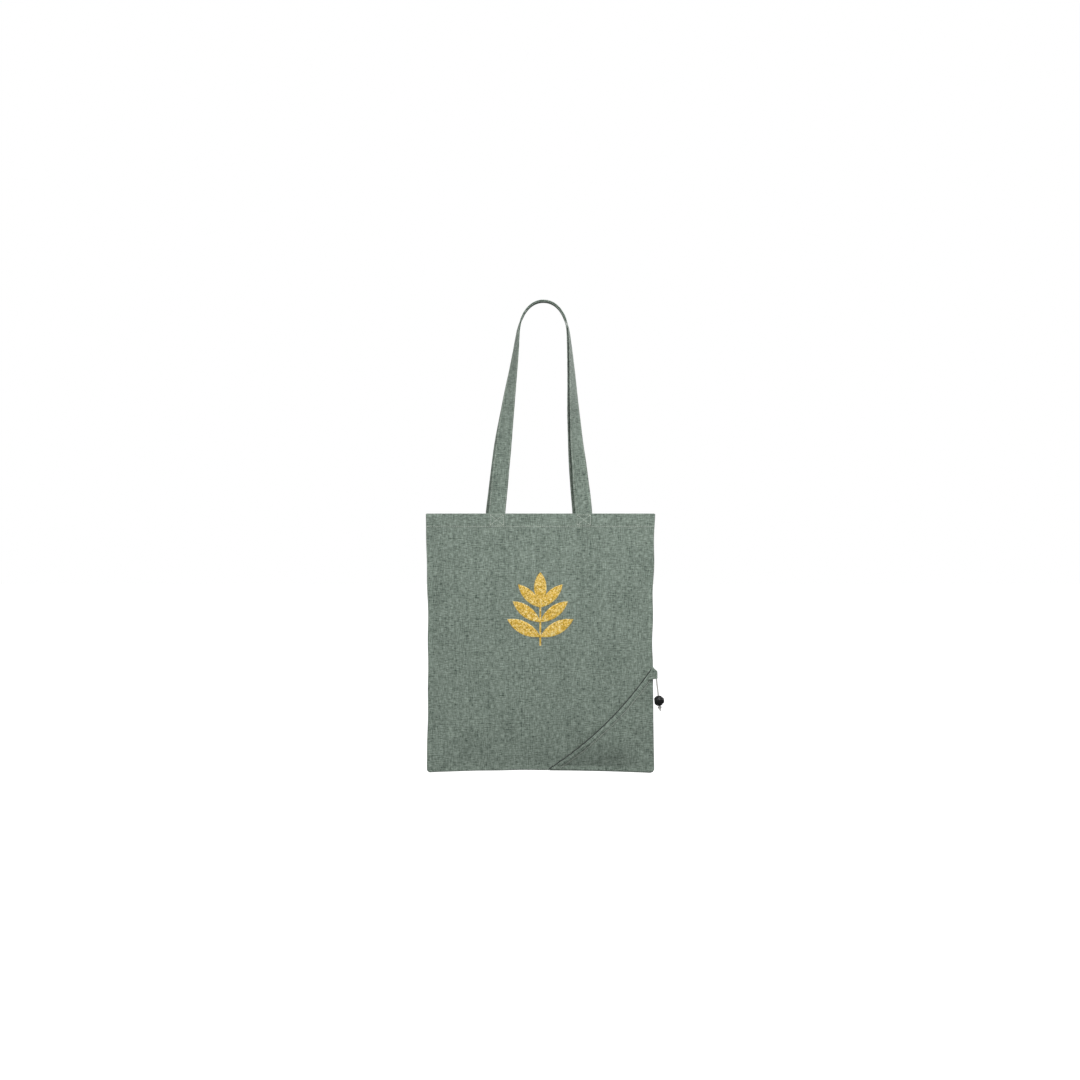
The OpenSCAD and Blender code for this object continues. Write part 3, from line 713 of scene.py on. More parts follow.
def lock_ball(name, radius, sides):
    """A ball whose poles lie on the plunger's axis."""
    bpy.ops.mesh.primitive_uv_sphere_add(segments=sides, ring_count=sides // 2, radius=radius)
    ball = bpy.context.object
    ball.name = name
    ball.rotation_euler = (0, math.radians(90), 0)
    bpy.ops.object.transform_apply(rotation=True)
    bpy.ops.object.mode_set(mode="EDIT")
    return ball


def cut_at(x, keep_low):
    """Cuts the piece in edit mode at x, and closes the cut."""
    bpy.ops.mesh.select_all(action="SELECT")
    bpy.ops.mesh.bisect(plane_co=(x, 0, 0), plane_no=(1, 0, 0), use_fill=True,
                        clear_outer=keep_low, clear_inner=not keep_low)


def apply_modifier(piece, kind, **settings):
    """Adds a modifier to a piece and applies it, and leaves the piece selected."""
    modifier = piece.modifiers.new(kind.lower(), kind)
    for key, value in settings.items():
        setattr(modifier, key, value)
    select_only(piece)
    bpy.ops.object.modifier_apply(modifier=modifier.name)


def carve(piece, cutter):
    apply_modifier(piece, "BOOLEAN", operation="DIFFERENCE", object=cutter, solver="EXACT")
    bpy.data.objects.remove(cutter)


def rod(radius, low, high, along, sides=BUTTON_SIDES):
    """A round cutter along X or Z."""
    turn = (0, math.radians(90), 0) if along == "X" else (0, 0, 0)
    middle = (low + high) / 2
    spot = (middle, 0, 0) if along == "X" else (0, 0, middle)
    bpy.ops.mesh.primitive_cylinder_add(vertices=sides, radius=radius, depth=high - low,
                                        location=spot, rotation=turn)
    bpy.ops.object.transform_apply(location=True, rotation=True)
    return bpy.context.object


def round_off(piece, width):
    """Rounds the sharp edges of a moulded piece and moves it to its place on the cord."""
    sharp = math.radians(35)
    apply_modifier(piece, "BEVEL", width=width, segments=2, limit_method="ANGLE", angle_limit=sharp)
    bpy.ops.object.shade_smooth_by_angle(angle=math.radians(32))
    piece.rotation_euler = (0, math.asin(TAIL_UP[0]), 0)
    piece.location = tuple(on_tail(0, 0, -LOCK_DROP))
    bpy.ops.object.transform_apply(location=True, rotation=True)
    select_only()
    return finish_with(piece, "lock_plastic")


def make_lock_body():
    """A ribbed ball with a flat end, bored for the plunger, with a hole across it for the cord."""
    body = lock_ball("lock_ball", LOCK_D / 2, LOCK_SIDES)
    cut_at(-LOCK_FLAT, keep_low=False)
    cut_at(LOCK_MOUTH, keep_low=True)

    def in_a_rib(middle):
        turn = math.atan2(middle.z, middle.y) / (2 * math.pi) * LOCK_SIDES
        in_step = math.floor(turn % RIB_STEP) > 0
        clear_of_hole = math.hypot(middle.x, middle.y) > CORD_HOLE / 2 + 1.1 * M
        return in_step and clear_of_hole and -5.6 * M < middle.x < 4.1 * M

    picked(body, "FACE", in_a_rib)
    bpy.ops.mesh.inset(thickness=0.12 * M, depth=-0.38 * M, use_even_offset=False)
    bpy.ops.object.mode_set(mode="OBJECT")
    carve(body, rod(BORE_R, SEAT_X, LOCK_D, "X"))
    carve(body, rod(CORD_HOLE / 2, -LOCK_D, LOCK_D, "Z", HOLE_SIDES))
    round_off(body, 0.12 * M)
    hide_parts("lock_body")
    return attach(body, "lock")


def make_plunger():
    """The push button: a rod with a domed head and a slot across it for the cord."""
    button = lock_ball("lock_button", PLUNGER_R, BUTTON_SIDES)
    cut_at(0, keep_low=False)
    bpy.ops.mesh.select_all(action="SELECT")
    dome = PLUNGER_END - PLUNGER_RIM
    bpy.ops.transform.resize(value=(dome / PLUNGER_R, 1, 1), center_override=(0, 0, 0))
    bpy.ops.transform.translate(value=(PLUNGER_RIM, 0, 0))
    picked(button, "FACE", lambda middle: middle.x < PLUNGER_RIM + 0.001 * M)
    bpy.ops.mesh.extrude_region_move(TRANSFORM_OT_translate={"value": (PLUNGER_IN - PLUNGER_RIM, 0, 0)})
    picked(button, "FACE", lambda middle: middle.x > PLUNGER_END - 0.42 * M)
    bpy.ops.mesh.inset(thickness=0.35 * M, depth=-0.3 * M)
    bpy.ops.object.mode_set(mode="OBJECT")
    slot = rod(CORD_HOLE / 2, -LOCK_D, LOCK_D, "Z", HOLE_SIDES)
    bpy.ops.object.mode_set(mode="EDIT")
    picked(slot, "VERT", lambda spot: spot.x > 0.01 * M)
    bpy.ops.transform.translate(value=(PLUNGER_TRAVEL, 0, 0))
    bpy.ops.object.mode_set(mode="OBJECT")
    carve(button, slot)
    round_off(button, 0.15 * M)
    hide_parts("lock_plunger")
    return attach(button, "plunger")


def make_coil():
    """The spring behind the button, coiled as it stands with the button out."""
    turn = np.linspace(0, 2 * math.pi * COIL_TURNS, 24 * COIL_TURNS + 1)
    low = SEAT_X / M + 0.1 + COIL_WIRE / 2
    high = PLUNGER_IN / M - 0.1 - COIL_WIRE / 2
    along = low + (high - low) * turn / turn[-1]
    path = [on_tail(x, COIL_R * math.cos(a), COIL_R * math.sin(a) - LOCK_DROP) for x, a in zip(along, turn)]
    coil = tube_piece("lock_coil", path, COIL_WIRE / 2 * M, sides=8, up=tuple(TAIL_SIDE))
    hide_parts("lock_spring")
    finish_with(coil, "spring_steel")
    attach(coil, "lock")
    seat = on_tail(SEAT_X / M, 0, -LOCK_DROP)
    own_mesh(coil)
    return coil


lock_ball_piece = make_lock_body()
lock_button = make_plunger()
lock_coil = make_coil()


# ---------- Bag ----------

# Where pieces of the cloth lie in its UV layer, beside the front of the bag.
LINING_V = 700.0
POCKET_V = 900
CHANNEL_U = 400
TAB_U = 700
STRAP_U = 1500


def follow_fold(piece):
    """Bakes the placement of a piece below the fold into its mesh."""
    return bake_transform(piece)


def follow_mouth(piece):
    """Bakes the placement of a piece on the front of the upper half into its mesh."""
    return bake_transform(piece)


def edge_columns():
    """Shares of the half width, closer together near the side seams."""
    count = int((BAG_W / 2 - EDGE_STEPS[-1]) / CELL)
    right = [1 - d / (BAG_W / 2) for d in EDGE_STEPS]
    middle = list(np.linspace(-right[-1], right[-1], 2 * count + 1)[1:-1])
    return np.array([-r for r in right] + middle + right[::-1])


COLUMNS = edge_columns()


def wander(x, q, inset):
    """The outline isn't quite straight: a small move of the edges, sideways and down."""
    width = half_w(q)
    share = np.abs(x) / width
    sway = 0.45 * waves(0.0 * x, q + 300 * np.sign(x), 5, 5, (60, 90), (38, 150)) * share ** 8
    low = (q / foot_q(x / width)) ** 12
    drop = 0.4 * waves(x, 0.0 * q, 6, 5, (38, 150), (60, 90)) * low
    groove = inset * np.where(share > 0.9995, 0.55, 0.0)
    return x + np.sign(x) * (sway - groove), q + drop


def loop_around(q_row, inward):
    """A ring of places around the bag, front then back, at one depth for each column.
    inward is how far it lies inside the outer face."""
    rings = []
    for side, shares in ((FRONT, COLUMNS), (BACK, COLUMNS[::-1])):
        q = q_row if side == FRONT else q_row[::-1]
        width = half_w(q)
        x = shares * width
        y = stand(side, x, q)
        if inward > 0:
            edge = width - np.abs(x)
            least = 0.55 * quarter(edge / 6) * quarter((foot_q(shares) - q) / 6)
            y = np.maximum(y - inward, least)
            x = shares * (width - LINING_IN)
        moved_x, moved_q = wander(x, q, 0.0 if inward > 0 else 1.0)
        rings.append(place(moved_x, side * y, moved_q)[:-1])
    return np.concatenate(rings, axis=0)


def loop_uvs(q_row, layer):
    """UVs around the bag: the back is beside the front and the lining has a place of its own."""
    front = np.stack([COLUMNS * BAG_W / 2, BAG_H - q_row], axis=-1)
    back = np.stack([BAG_W * 1.5 + COLUMNS * BAG_W / 2, BAG_H - q_row[::-1]], axis=-1)
    joined = np.concatenate([front[:-1], back[:-1], back[-1:]], axis=0)
    return (joined + np.array([0, layer * LINING_V])) * M


def make_bag_upper():
    """The upper half of the bag: both sides as one tube, with the rim turned in as a hem."""
    level = np.ones_like(COLUMNS)
    profile = [(0.0, q) for q in np.arange(FOLD_Q, 2.2, -CELL)]
    turn_r = (CLOTH + 1.3) / 2
    for a in np.linspace(0, math.pi, 7):
        profile.append((turn_r * (1 - math.cos(a)), turn_r * (1 - math.sin(a))))
    profile += [(2 * turn_r, q) for q in np.arange(3.5, HEM_H - 1, CELL)]
    profile += [(2 * turn_r, HEM_H - 0.4), (1.6, HEM_H), (CLOTH, HEM_H + 0.1)]
    profile += [(CLOTH, q) for q in np.append(np.arange(HEM_H + 2, FOLD_Q - 1, 2 * CELL), FOLD_Q)]
    points = []
    uvs = []
    for inward, q in profile:
        points.append(loop_around(level * q, inward))
        uvs.append(loop_uvs(level * q, 1 if inward > 0 else 0))
    points = np.array(points)
    uvs = np.array(uvs + [uvs[0]])
    bag = tidy(grid_piece("bag_upper", points, uvs, wrap_rows=True, wrap_cols=True))
    follow_mouth(bag)
    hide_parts("front_panel_upper", "back_panel_upper", "front_hem", "back_hem")
    finish_with(bag, "bag_cloth")
    return bag


def lower_row(share):
    """Depths across the bag of a row at a share of the way from the fold to the bottom edge."""
    return FOLD_Q + (foot_q(COLUMNS) - FOLD_Q) * share


def make_bag_lower():
    """The lower half of the bag: one pouch that closes along the bottom seam."""
    height = BAG_H - FOLD_Q
    shares = list(np.linspace(0, 1 - EDGE_STEPS[-1] / height, int(height / CELL)))
    shares += [1 - d / height for d in EDGE_STEPS[-2::-1]]
    rows = [(CLOTH, s) for s in shares[::-1]] + [(0.0, s) for s in shares]
    points = []
    uvs = []
    for inward, share in rows:
        q_row = lower_row(share)
        if inward > 0:
            q_row = FOLD_Q + (q_row - FOLD_Q) * (1 - 1.6 / height)
        points.append(loop_around(q_row, inward))
        uvs.append(loop_uvs(q_row, 1 if inward > 0 else 0))
    count = len(COLUMNS) - 1
    for row in (points[0], points[-1]):
        front = row[:count]
        back = np.concatenate([row[count:], row[:1]])[::-1]
        flat = front.copy()
        flat[1:] = (front[1:] + back[1:-1]) / 2
        flat[:, 1] = 0
        row[:count] = flat
        row[count + 1:] = flat[1:][::-1]
        row[0, 1] = 0
        row[count, 1] = 0
    bag = tidy(grid_piece("bag_lower", np.array(points), np.array(uvs), wrap_cols=True))
    follow_fold(bag)
    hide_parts("front_panel_lower", "back_panel_lower")
    finish_with(bag, "bag_cloth")
    return bag


bag_upper = make_bag_upper()
bag_lower = make_bag_lower()


# ---------- Seam allowances ----------

SEAM_STEPS = np.array([0.9, 1.6, 3.0, 5.0, 7.0, 7.8, SEAM_W])


def seam_half(inset):
    """Half the thickness of the raw edges, at places inside the outline."""
    return 0.34 * quarter(inset / 1.4) * quarter((SEAM_W + 0.4 - inset) / 0.8)


def side_seam(name, node, side, q0, q1):
    """The raw edges of both sides, sewn together inside a side seam."""
    rows = np.linspace(q0, q1, int((q1 - q0) / 4))[:, None]
    inset = SEAM_STEPS[None, :]
    fray = 0.25 * waves(0.0 * rows, rows, 71, 5, (50, 60), (9, 30)) * (inset / SEAM_W)
    x = side * (half_w(rows) - inset) + fray
    half_t = seam_half(inset)
    sway = 0.05 * waves(inset + 0.0 * rows, rows + 0.0 * inset, 72, 4, (9, 20), (9, 30))
    uvs = pairs(x * M, (BAG_H - rows) * M)
    piece = slab_piece(name, place(x, sway - half_t, rows), place(x, sway + half_t, rows), uvs)
    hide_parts(node)
    finish_with(piece, "seam_cloth")
    return piece


def bottom_seam():
    """The raw edges inside the bottom seam."""
    inset = SEAM_STEPS[:, None]
    shares = np.linspace(-1, 1, 120)[None, :]
    q = foot_q(shares) - inset
    x = shares * (half_w(q) - 1.2)
    half_t = seam_half(inset)
    uvs = pairs(x * M, (BAG_H - q) * M)
    piece = slab_piece("seam_bottom", place(x, -half_t, q), place(x, half_t, q), uvs)
    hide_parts("bottom_seam")
    finish_with(piece, "seam_cloth")
    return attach(piece, "lower")


LOW_END = BAG_H - FOOT_ARCH - SEAM_W
for side, word in ((-1, "left"), (1, "right")):
    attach(side_seam(f"seam_{word}_upper", f"{word}_seam_upper", side, 1.5, FOLD_Q), "upper")
    follow_fold(side_seam(f"seam_{word}_lower", f"{word}_seam_lower", side, FOLD_Q, LOW_END))
bottom_seam()


# ---------- Corner pocket ----------

POCKET_W = 178.0
POCKET_H = 173.0
MOUTH_SAG = 12.0
MOUTH_OVER = 1.5
MOUTH_SHORT = 0.5
POCKET_GAP = 0.3
POCKET_GAPE = 7.0
GAPE_SIDE = 60.0
GAPE_FOOT = 55.0
CHANNEL_MID = 4.0
CHANNEL_ROW = 8.4
CHANNEL_RISE = 0.9
POCKET_Q = BAG_H - POCKET_H
SIDE_END = np.array([straight_w(POCKET_Q) + MOUTH_OVER, POCKET_Q])
FOOT_END = np.array([straight_w(BAG_H) - POCKET_W, BAG_H - MOUTH_SHORT])
CHORD = np.linalg.norm(SIDE_END - FOOT_END)
MOUTH_R = (CHORD * CHORD / 4 + MOUTH_SAG * MOUTH_SAG) / 2 / MOUTH_SAG
MOUTH_IN = np.array([FOOT_END[1] - SIDE_END[1], SIDE_END[0] - FOOT_END[0]]) / CHORD
MOUTH_CENTRE = (SIDE_END + FOOT_END) / 2 - MOUTH_IN * (MOUTH_R - MOUTH_SAG)
SIDE_ANGLE = math.atan2(*(SIDE_END - MOUTH_CENTRE)[::-1])
FOOT_ANGLE = math.atan2(*(FOOT_END - MOUTH_CENTRE)[::-1])
MOUTH_RUN = MOUTH_R * (FOOT_ANGLE - SIDE_ANGLE)


def mouth(t, w):
    """A place at share t along the pocket's mouth, from the side edge, and w inside its edge."""
    angle = SIDE_ANGLE + (FOOT_ANGLE - SIDE_ANGLE) * t
    return MOUTH_CENTRE[0] + (MOUTH_R + w) * np.cos(angle), MOUTH_CENTRE[1] + (MOUTH_R + w) * np.sin(angle)


def pocket_stand(x, q):
    """How far the outer face of the pocket's cloth stands from the middle plane."""
    share = roll_off(x, q, GAPE_SIDE, GAPE_FOOT)
    folds = 0.55 * waves(x + 0.7 * q, q - 0.7 * x, 83, 7, (50, 120), (90, 260))
    folds = folds + 0.14 * waves(x, q, 84, 12, (14, 40), (14, 40))
    return stand(FRONT, x, q) + POCKET_GAP + POCKET_GAPE * share + folds * share + CLOTH


def corner_outline():
    """The edge of the bag from the top of the pocket, round the corner, to its end at the bottom."""
    q_side = np.concatenate([np.linspace(POCKET_Q, BAG_H - CORNER_R, 60)[:-1],
                             BAG_H - CORNER_R * (1 - np.sin(np.linspace(0, math.pi / 2, 12)))])
    side_edge = pairs(half_w(q_side), q_side)
    corner_x = half_w(np.array(BAG_H))
    x_foot = np.linspace(corner_x, FOOT_END[0], 60)[1:]
    foot_edge = pairs(x_foot, foot_q(x_foot / corner_x))
    return np.concatenate([side_edge, foot_edge], axis=0)


def along_outline(t):
    """Places at shares t of the corner outline, and the direction out of the bag there."""
    line = corner_outline()
    run = run_along(line)
    share = run / run[-1]
    spots = np.stack([np.interp(t, share, line[:, k]) for k in (0, 1)], axis=-1)
    ahead = unit(np.gradient(spots, axis=0))
    return spots, pairs(ahead[:, 1], -ahead[:, 0])


def make_pocket():
    """The pocket's cloth, from under the channel down to the corner, and wrapped round the edges."""
    t = np.linspace(0.022, 0.978, 84)
    edge, out = along_outline(t)
    wrap_r = FRONT_EDGE + POCKET_GAP + CLOTH
    over = 0.7
    start = pairs(*mouth(t, 0.5))
    finish = edge - (wrap_r - over) * out
    outer = []
    inner = []
    uvs = []

    def add_row(spot_out, spot_in, y_out, y_in):
        outer.append(place(spot_out[:, 0], -y_out, spot_out[:, 1]))
        inner.append(place(spot_in[:, 0], -y_in, spot_in[:, 1]))
        uvs.append(pairs(spot_out[:, 0], BAG_H - spot_out[:, 1] + POCKET_V) * M)

    for v in np.linspace(0, 1, 46):
        spot = start + (finish - start) * v
        spot[:, 0] = np.minimum(spot[:, 0], half_w(spot[:, 1]) - (wrap_r - over))
        level = pocket_stand(spot[:, 0], spot[:, 1])
        add_row(spot, spot, level, level - CLOTH)
    for a in np.radians([14, 28, 42, 56, 70, 84]):
        spot_out = edge + (over - wrap_r + wrap_r * math.sin(a)) * out
        spot_in = edge + (over - wrap_r + (wrap_r - CLOTH) * math.sin(a)) * out
        add_row(spot_out, spot_in, level * math.cos(a), (level - CLOTH) * math.cos(a))
    pocket = slab_piece("pocket_cloth", np.array(outer), np.array(inner), np.array(uvs))
    follow_fold(pocket)
    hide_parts("corner_pocket")
    finish_with(pocket, "bag_cloth")
    return pocket


def channel_section():
    """Half the loop of the channel's cloth over the cord: places inside the mouth's edge, and
    heights above the pocket. First its outer face, then its inner face back again."""
    over = np.linspace(7.3, 0.8, 12)
    rise = np.exp(-(((over - CHANNEL_MID) / 2.7) ** 2))
    outer = [(9.6, 0.10), (9.0, 0.42), (8.4, 0.30), (7.9, 0.55)]
    outer += list(zip(over, 0.62 + CHANNEL_RISE * rise))
    outer += [(0.35, 0.60), (-0.10, 0.40), (-0.40, 0.10), (-1.60, -0.30), (-1.85, -0.70), (-0.90, -0.95)]
    inner = [(0.05, -0.70), (0.22, -0.10), (0.40, 0.05)]
    inner += list(zip(over[::-1], 0.1 + CHANNEL_RISE * rise[::-1]))
    inner += [(7.6, 0.10), (8.6, 0.05), (9.6, 0.02)]
    return np.array(outer + inner)


def pucker(t):
    """Little gathers along the drawn mouth."""
    run = t * MOUTH_RUN
    return waves(run, 0.0 * run, 91, 6, (7, 16), (60, 90))


def mouth_start(w):
    """The share along the mouth where a line w inside its edge leaves the side of the bag."""
    t = np.linspace(0.018, 0.2, 400)
    x, q = mouth(t, w)
    return t[np.argmax(x < half_w(q) - 0.5)]


def mouth_end(w):
    """The share along the mouth where a line w inside its edge comes to the bottom of the bag."""
    t = np.linspace(0.85, 1.0, 400)
    x, q = mouth(t, w)
    return t[np.argmax(q > foot_q(x / half_w(q)) - 1.5)]


def make_channel():
    """The casing along the mouth that the drawcord runs in, one turned strip of cloth."""
    section = channel_section()
    starts = np.array([mouth_start(w) for w in section[:, 0]])
    ends = np.array([mouth_end(w) for w in section[:, 0]])
    share = np.linspace(0, 1, 160)[:, None]
    t = starts[None, :] + (ends - starts)[None, :] * share
    flat_end = 0.3 + 0.7 * ease((0.985 - share) / 0.06)
    gather = pucker(t)
    w = section[None, :, 0] + 0.16 * pucker(t + 0.31) * np.where(section[None, :, 0] < 1, 1.0, 0.3)
    high = np.maximum(section[None, :, 1], 0)
    low = np.minimum(section[None, :, 1], 0)
    h = high * flat_end * (1 + 0.10 * gather) + low
    x, q = mouth(t, w)
    ground_x, ground_q = mouth(t, np.maximum(w, 0.2))
    y = pocket_stand(ground_x, ground_q) + h
    around = run_along(section)
    around = np.append(around, around[-1] + 0.5)
    run = np.concatenate([t, t[:, :1]], axis=1) * MOUTH_RUN + CHANNEL_U
    uvs = pairs(run, around[None, :]) * M
    channel = grid_piece("drawcord_channel", place(x, -y, q), uvs, wrap_cols=True)
    finish_with(channel, "bag_cloth")
    channel.data.materials.append(MOUTH_PAINTED_SHADE)
    # Faces on the turned-under edge of the mouth get the painted shade.
    in_painted_shade = [0.5 * (a + b) < -0.2 for a, b in zip(section[:, 0], np.roll(section[:, 0], -1))]
    for face in channel.data.polygons:
        face.material_index = int(in_painted_shade[face.index % len(in_painted_shade)])
    mend(channel, fill_holes)
    follow_fold(channel)
    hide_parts("pocket_channel")
    return channel


TAB_LOW, TAB_HIGH = node_box("channel_end")
TAB_X = TAB_HIGH[0] - MID_X
TAB_TOP_Q = RIM_Z - TAB_HIGH[2]
EXIT_X = PIVOT[0] / M - MID_X
EXIT_Y = PIVOT[1] / M
EXIT_Q = RIM_Z - PIVOT[2] / M
TAB_HALF = (TAB_HIGH[1] - TAB_LOW[1]) / 2


def squared(a, power):
    """Turns a sine or cosine into that of a squarer outline."""
    return np.sign(a) * np.abs(a) ** power


def make_tab():
    """The end of the channel: a flat sleeve over the side edge, open at the bottom for the cord."""
    count = 30
    turn = 2 * math.pi * np.arange(count) / count
    tall = TAB_HIGH[2] - TAB_LOW[2]
    depths = [0, 0.15, 0.5, 1.1, 2.0, 3.2, *np.linspace(5, tall - 0.35, 8)]
    levels = [(depth, 0.0) for depth in depths] + [(tall, 0.25), (tall - 0.05, 0.6)]
    levels += [(tall - up, 0.7) for up in (1, 3, 6, 8)]
    points = []
    for depth, inset in levels:
        q = TAB_TOP_Q + depth
        right = TAB_X - (TAB_X - SIDE_END[0] + 0.2) * (1 - ease(depth / 8)) - inset
        left = SIDE_END[0] - 2.8 - 6.0 * ease(depth / 14) + 0.7 * math.exp(-depth) + inset
        middle = (left + right) / 2
        reach = (right - left) / 2
        x = middle + reach * squared(np.cos(turn), 0.75)
        half = (TAB_HALF - inset) * (0.12 + 0.88 * quarter(depth / 3.5))
        closed = ease((EXIT_X - 1.6 - x) / 2.5) * ease((depth - 9) / 6)
        half = half * (1 - 0.62 * closed)
        y = EXIT_Y + half * squared(np.sin(turn), 0.7)
        y = y + 0.12 * np.sin(0.9 * depth + 0.8 * x)
        slope = 0.16 * (x - TAB_X) * min(1.0, depth / 12)
        points.append(place(x, y, q - slope))
    around = np.arange(count + 1) / count * 24
    down = np.array([depth - 2 * inset for depth, inset in levels])
    uvs = pairs(around[None, :] + TAB_U, down[:, None]) * M
    tab = mend(grid_piece("channel_tab", np.array(points), uvs, wrap_cols=True), fill_holes)
    follow_fold(tab)
    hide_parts("channel_end")
    finish_with(tab, "bag_cloth")
    return tab


def make_drawcord():
    """The cord inside the channel, over the turn in the tab and down to its way out."""
    t = np.linspace(0.885, 0.05, 90)
    x, q = mouth(t, CHANNEL_MID)
    y = -(pocket_stand(x, q) - 0.15)
    run = place(x, y, q)
    a = np.radians(np.linspace(115, 0, 12))
    turn_r = 4.2
    turn = place(EXIT_X - turn_r + turn_r * np.cos(a), EXIT_Y + 0 * a, EXIT_Q - 5.2 - turn_r * np.sin(a))
    end = place(np.array([EXIT_X]), np.array([EXIT_Y]), np.array([EXIT_Q - 1.2]))
    path = np.concatenate([run, turn, end])
    cord = tube_piece("drawcord_run", path, CORD_D / 2 * M, sides=10)
    follow_fold(cord)
    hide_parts("drawcord")
    finish_with(cord, "cord")
    return cord


pocket = make_pocket()
channel = make_channel()
tab = make_tab()
make_drawcord()


# ---------- Handles ----------

STRAP_W = 28.0
STRAP_T = 1.4
STRAP_ROW = STRAP_W / 2 - 2.1
CREST_W = 85.0
CREST_H = 52.0
CREST_SHIFT = -MID_X
CREST_LIFT = 0.56
CREST_LEVEL = 0.29
LEG_SHARE = 0.74
SWAY = (100.0, 300.0)
TWIST_START = 20.0
TWIST_PAST = 28.0
LEFT_TWIST = 1.15
RIGHT_TWIST = 0.68
RISE = -RIM_Z
LEG_TOP = RISE - CREST_H
LEG_PITCH = ANCHORS[FRONT][1] - ANCHORS[FRONT][0]
BACK_SHIFT = ANCHORS[FRONT][0] - ANCHORS[BACK][0]
FRONT_TOP = RISE + node_box("front_handle")[1][2] - STRAP_T / 2
NEST = STRAP_T + 0.35
LEG_SLOPE = (LEG_PITCH - CREST_W) / 2 / LEG_TOP
HANDLE_START = 0.3 + STRAP_W / 2 * LEG_SLOPE
END_Y = {
    FRONT: sum(part[1] for part in node_box("front_handle_left_end")) / 2,
    BACK: sum(part[1] for part in node_box("back_handle_left_end")) / 2,
}


def half_arch(a):
    """Distance from the middle and height above the rim, from the rim, 0, to the top, 1."""
    f = a / LEG_SHARE
    leg_x = LEG_PITCH / 2 + (CREST_W / 2 - LEG_PITCH / 2) * f
    leg_z = HANDLE_START + (LEG_TOP - HANDLE_START) * f
    t = clamp01((a - LEG_SHARE) / (1 - LEG_SHARE))
    s = 1 - t
    lift = CREST_LIFT * (FRONT_TOP - LEG_TOP)
    weights = [s ** 3, 3 * s * s * t, 3 * s * t * t, t ** 3]
    crest_x = sum(w * p for w, p in zip(weights, [CREST_W / 2, CREST_W / 2 - lift * LEG_SLOPE,
                                                  CREST_LEVEL * CREST_W, 0]))
    crest_z = sum(w * p for w, p in zip(weights, [LEG_TOP, LEG_TOP + lift, FRONT_TOP, FRONT_TOP]))
    on_leg = a < LEG_SHARE
    return np.where(on_leg, leg_x, crest_x), np.where(on_leg, leg_z, crest_z)


def arch(s):
    """Places x and height along a handle, from its left base, -1, to its right base, 1."""
    x, z = half_arch(1 - np.abs(s))
    return np.sign(s) * x + CREST_SHIFT * ease((z - SWAY[0]) / (SWAY[1] - SWAY[0])), z


def arch_in(s):
    """The direction in the plane of the handle that points to the inside of its loop."""
    x0, z0 = arch(np.maximum(s - 0.01, -1))
    x1, z1 = arch(np.minimum(s + 0.01, 1))
    run = np.hypot(x1 - x0, z1 - z0)
    return np.stack([(z1 - z0) / run, 0 * s, -(x1 - x0) / run], axis=-1)


def handle_frames(side):
    """Middle points, across and outward directions of a strap in millimetres, sewn ends included."""
    s = np.linspace(-1, 1, 241)
    x, z = arch(s)
    share = clamp01((z - TWIST_START) / (LEG_TOP - TWIST_START + TWIST_PAST))
    turn = np.radians(90 * np.where(s < 0, share ** LEFT_TWIST, share ** RIGHT_TWIST))[:, None]
    inward = arch_in(s)
    forward = np.array([0.0, -1.0, 0.0])
    across = np.cos(turn) * inward + np.sin(turn) * forward
    outward = np.cos(turn) * forward - np.sin(turn) * inward
    rest = 1 - z / FRONT_TOP
    middle = np.stack([x + MID_X, END_Y[FRONT] * rest, z - RISE], axis=-1)
    if side == BACK:
        gap = (END_Y[BACK] - END_Y[FRONT]) * rest
        middle = middle + np.stack([-BACK_SHIFT * rest, gap, 0 * rest], axis=-1)
        middle = middle + NEST * np.sin(turn) * inward
    depth = np.linspace(HEM_SEAM_Q + 0.6, 2.0, 9)
    ends = []
    for first in (0, -1):
        base = np.repeat(middle[first][None, :], len(depth), axis=0)
        base[:, 2] = RIM_Z - depth
        lean = np.linspace(0, 1, len(depth))[:, None] ** 3
        flat = np.array([1.0 if first == 0 else -1.0, 0, 0])
        tilt = unit(flat + (across[first] - flat) * lean)
        out = np.repeat(forward[None, :], len(depth), axis=0)
        ends.append([base, tilt, out])
    rows = zip(ends[0], (middle, across, outward), ends[1])
    return [np.concatenate([left, free, right[::-1]]) for left, free, right in rows]


def strap_section():
    """Places across the strap and heights of its outer face: folded edges and two sewn rows."""
    half = STRAP_W / 2
    top = STRAP_T / 2
    right = [(3.0, top - 0.10), (8.0, top - 0.06)]
    dips = ((-0.8, 0.0), (-0.35, 0.05), (0.0, 0.13), (0.35, 0.05), (0.8, 0.0))
    right += [(STRAP_ROW + step, top - dip) for step, dip in dips]
    right += [(half - 0.5, top - 0.12), (half - 0.08, top - 0.42)]
    return np.array([(-a, b) for a, b in right[::-1]] + right)


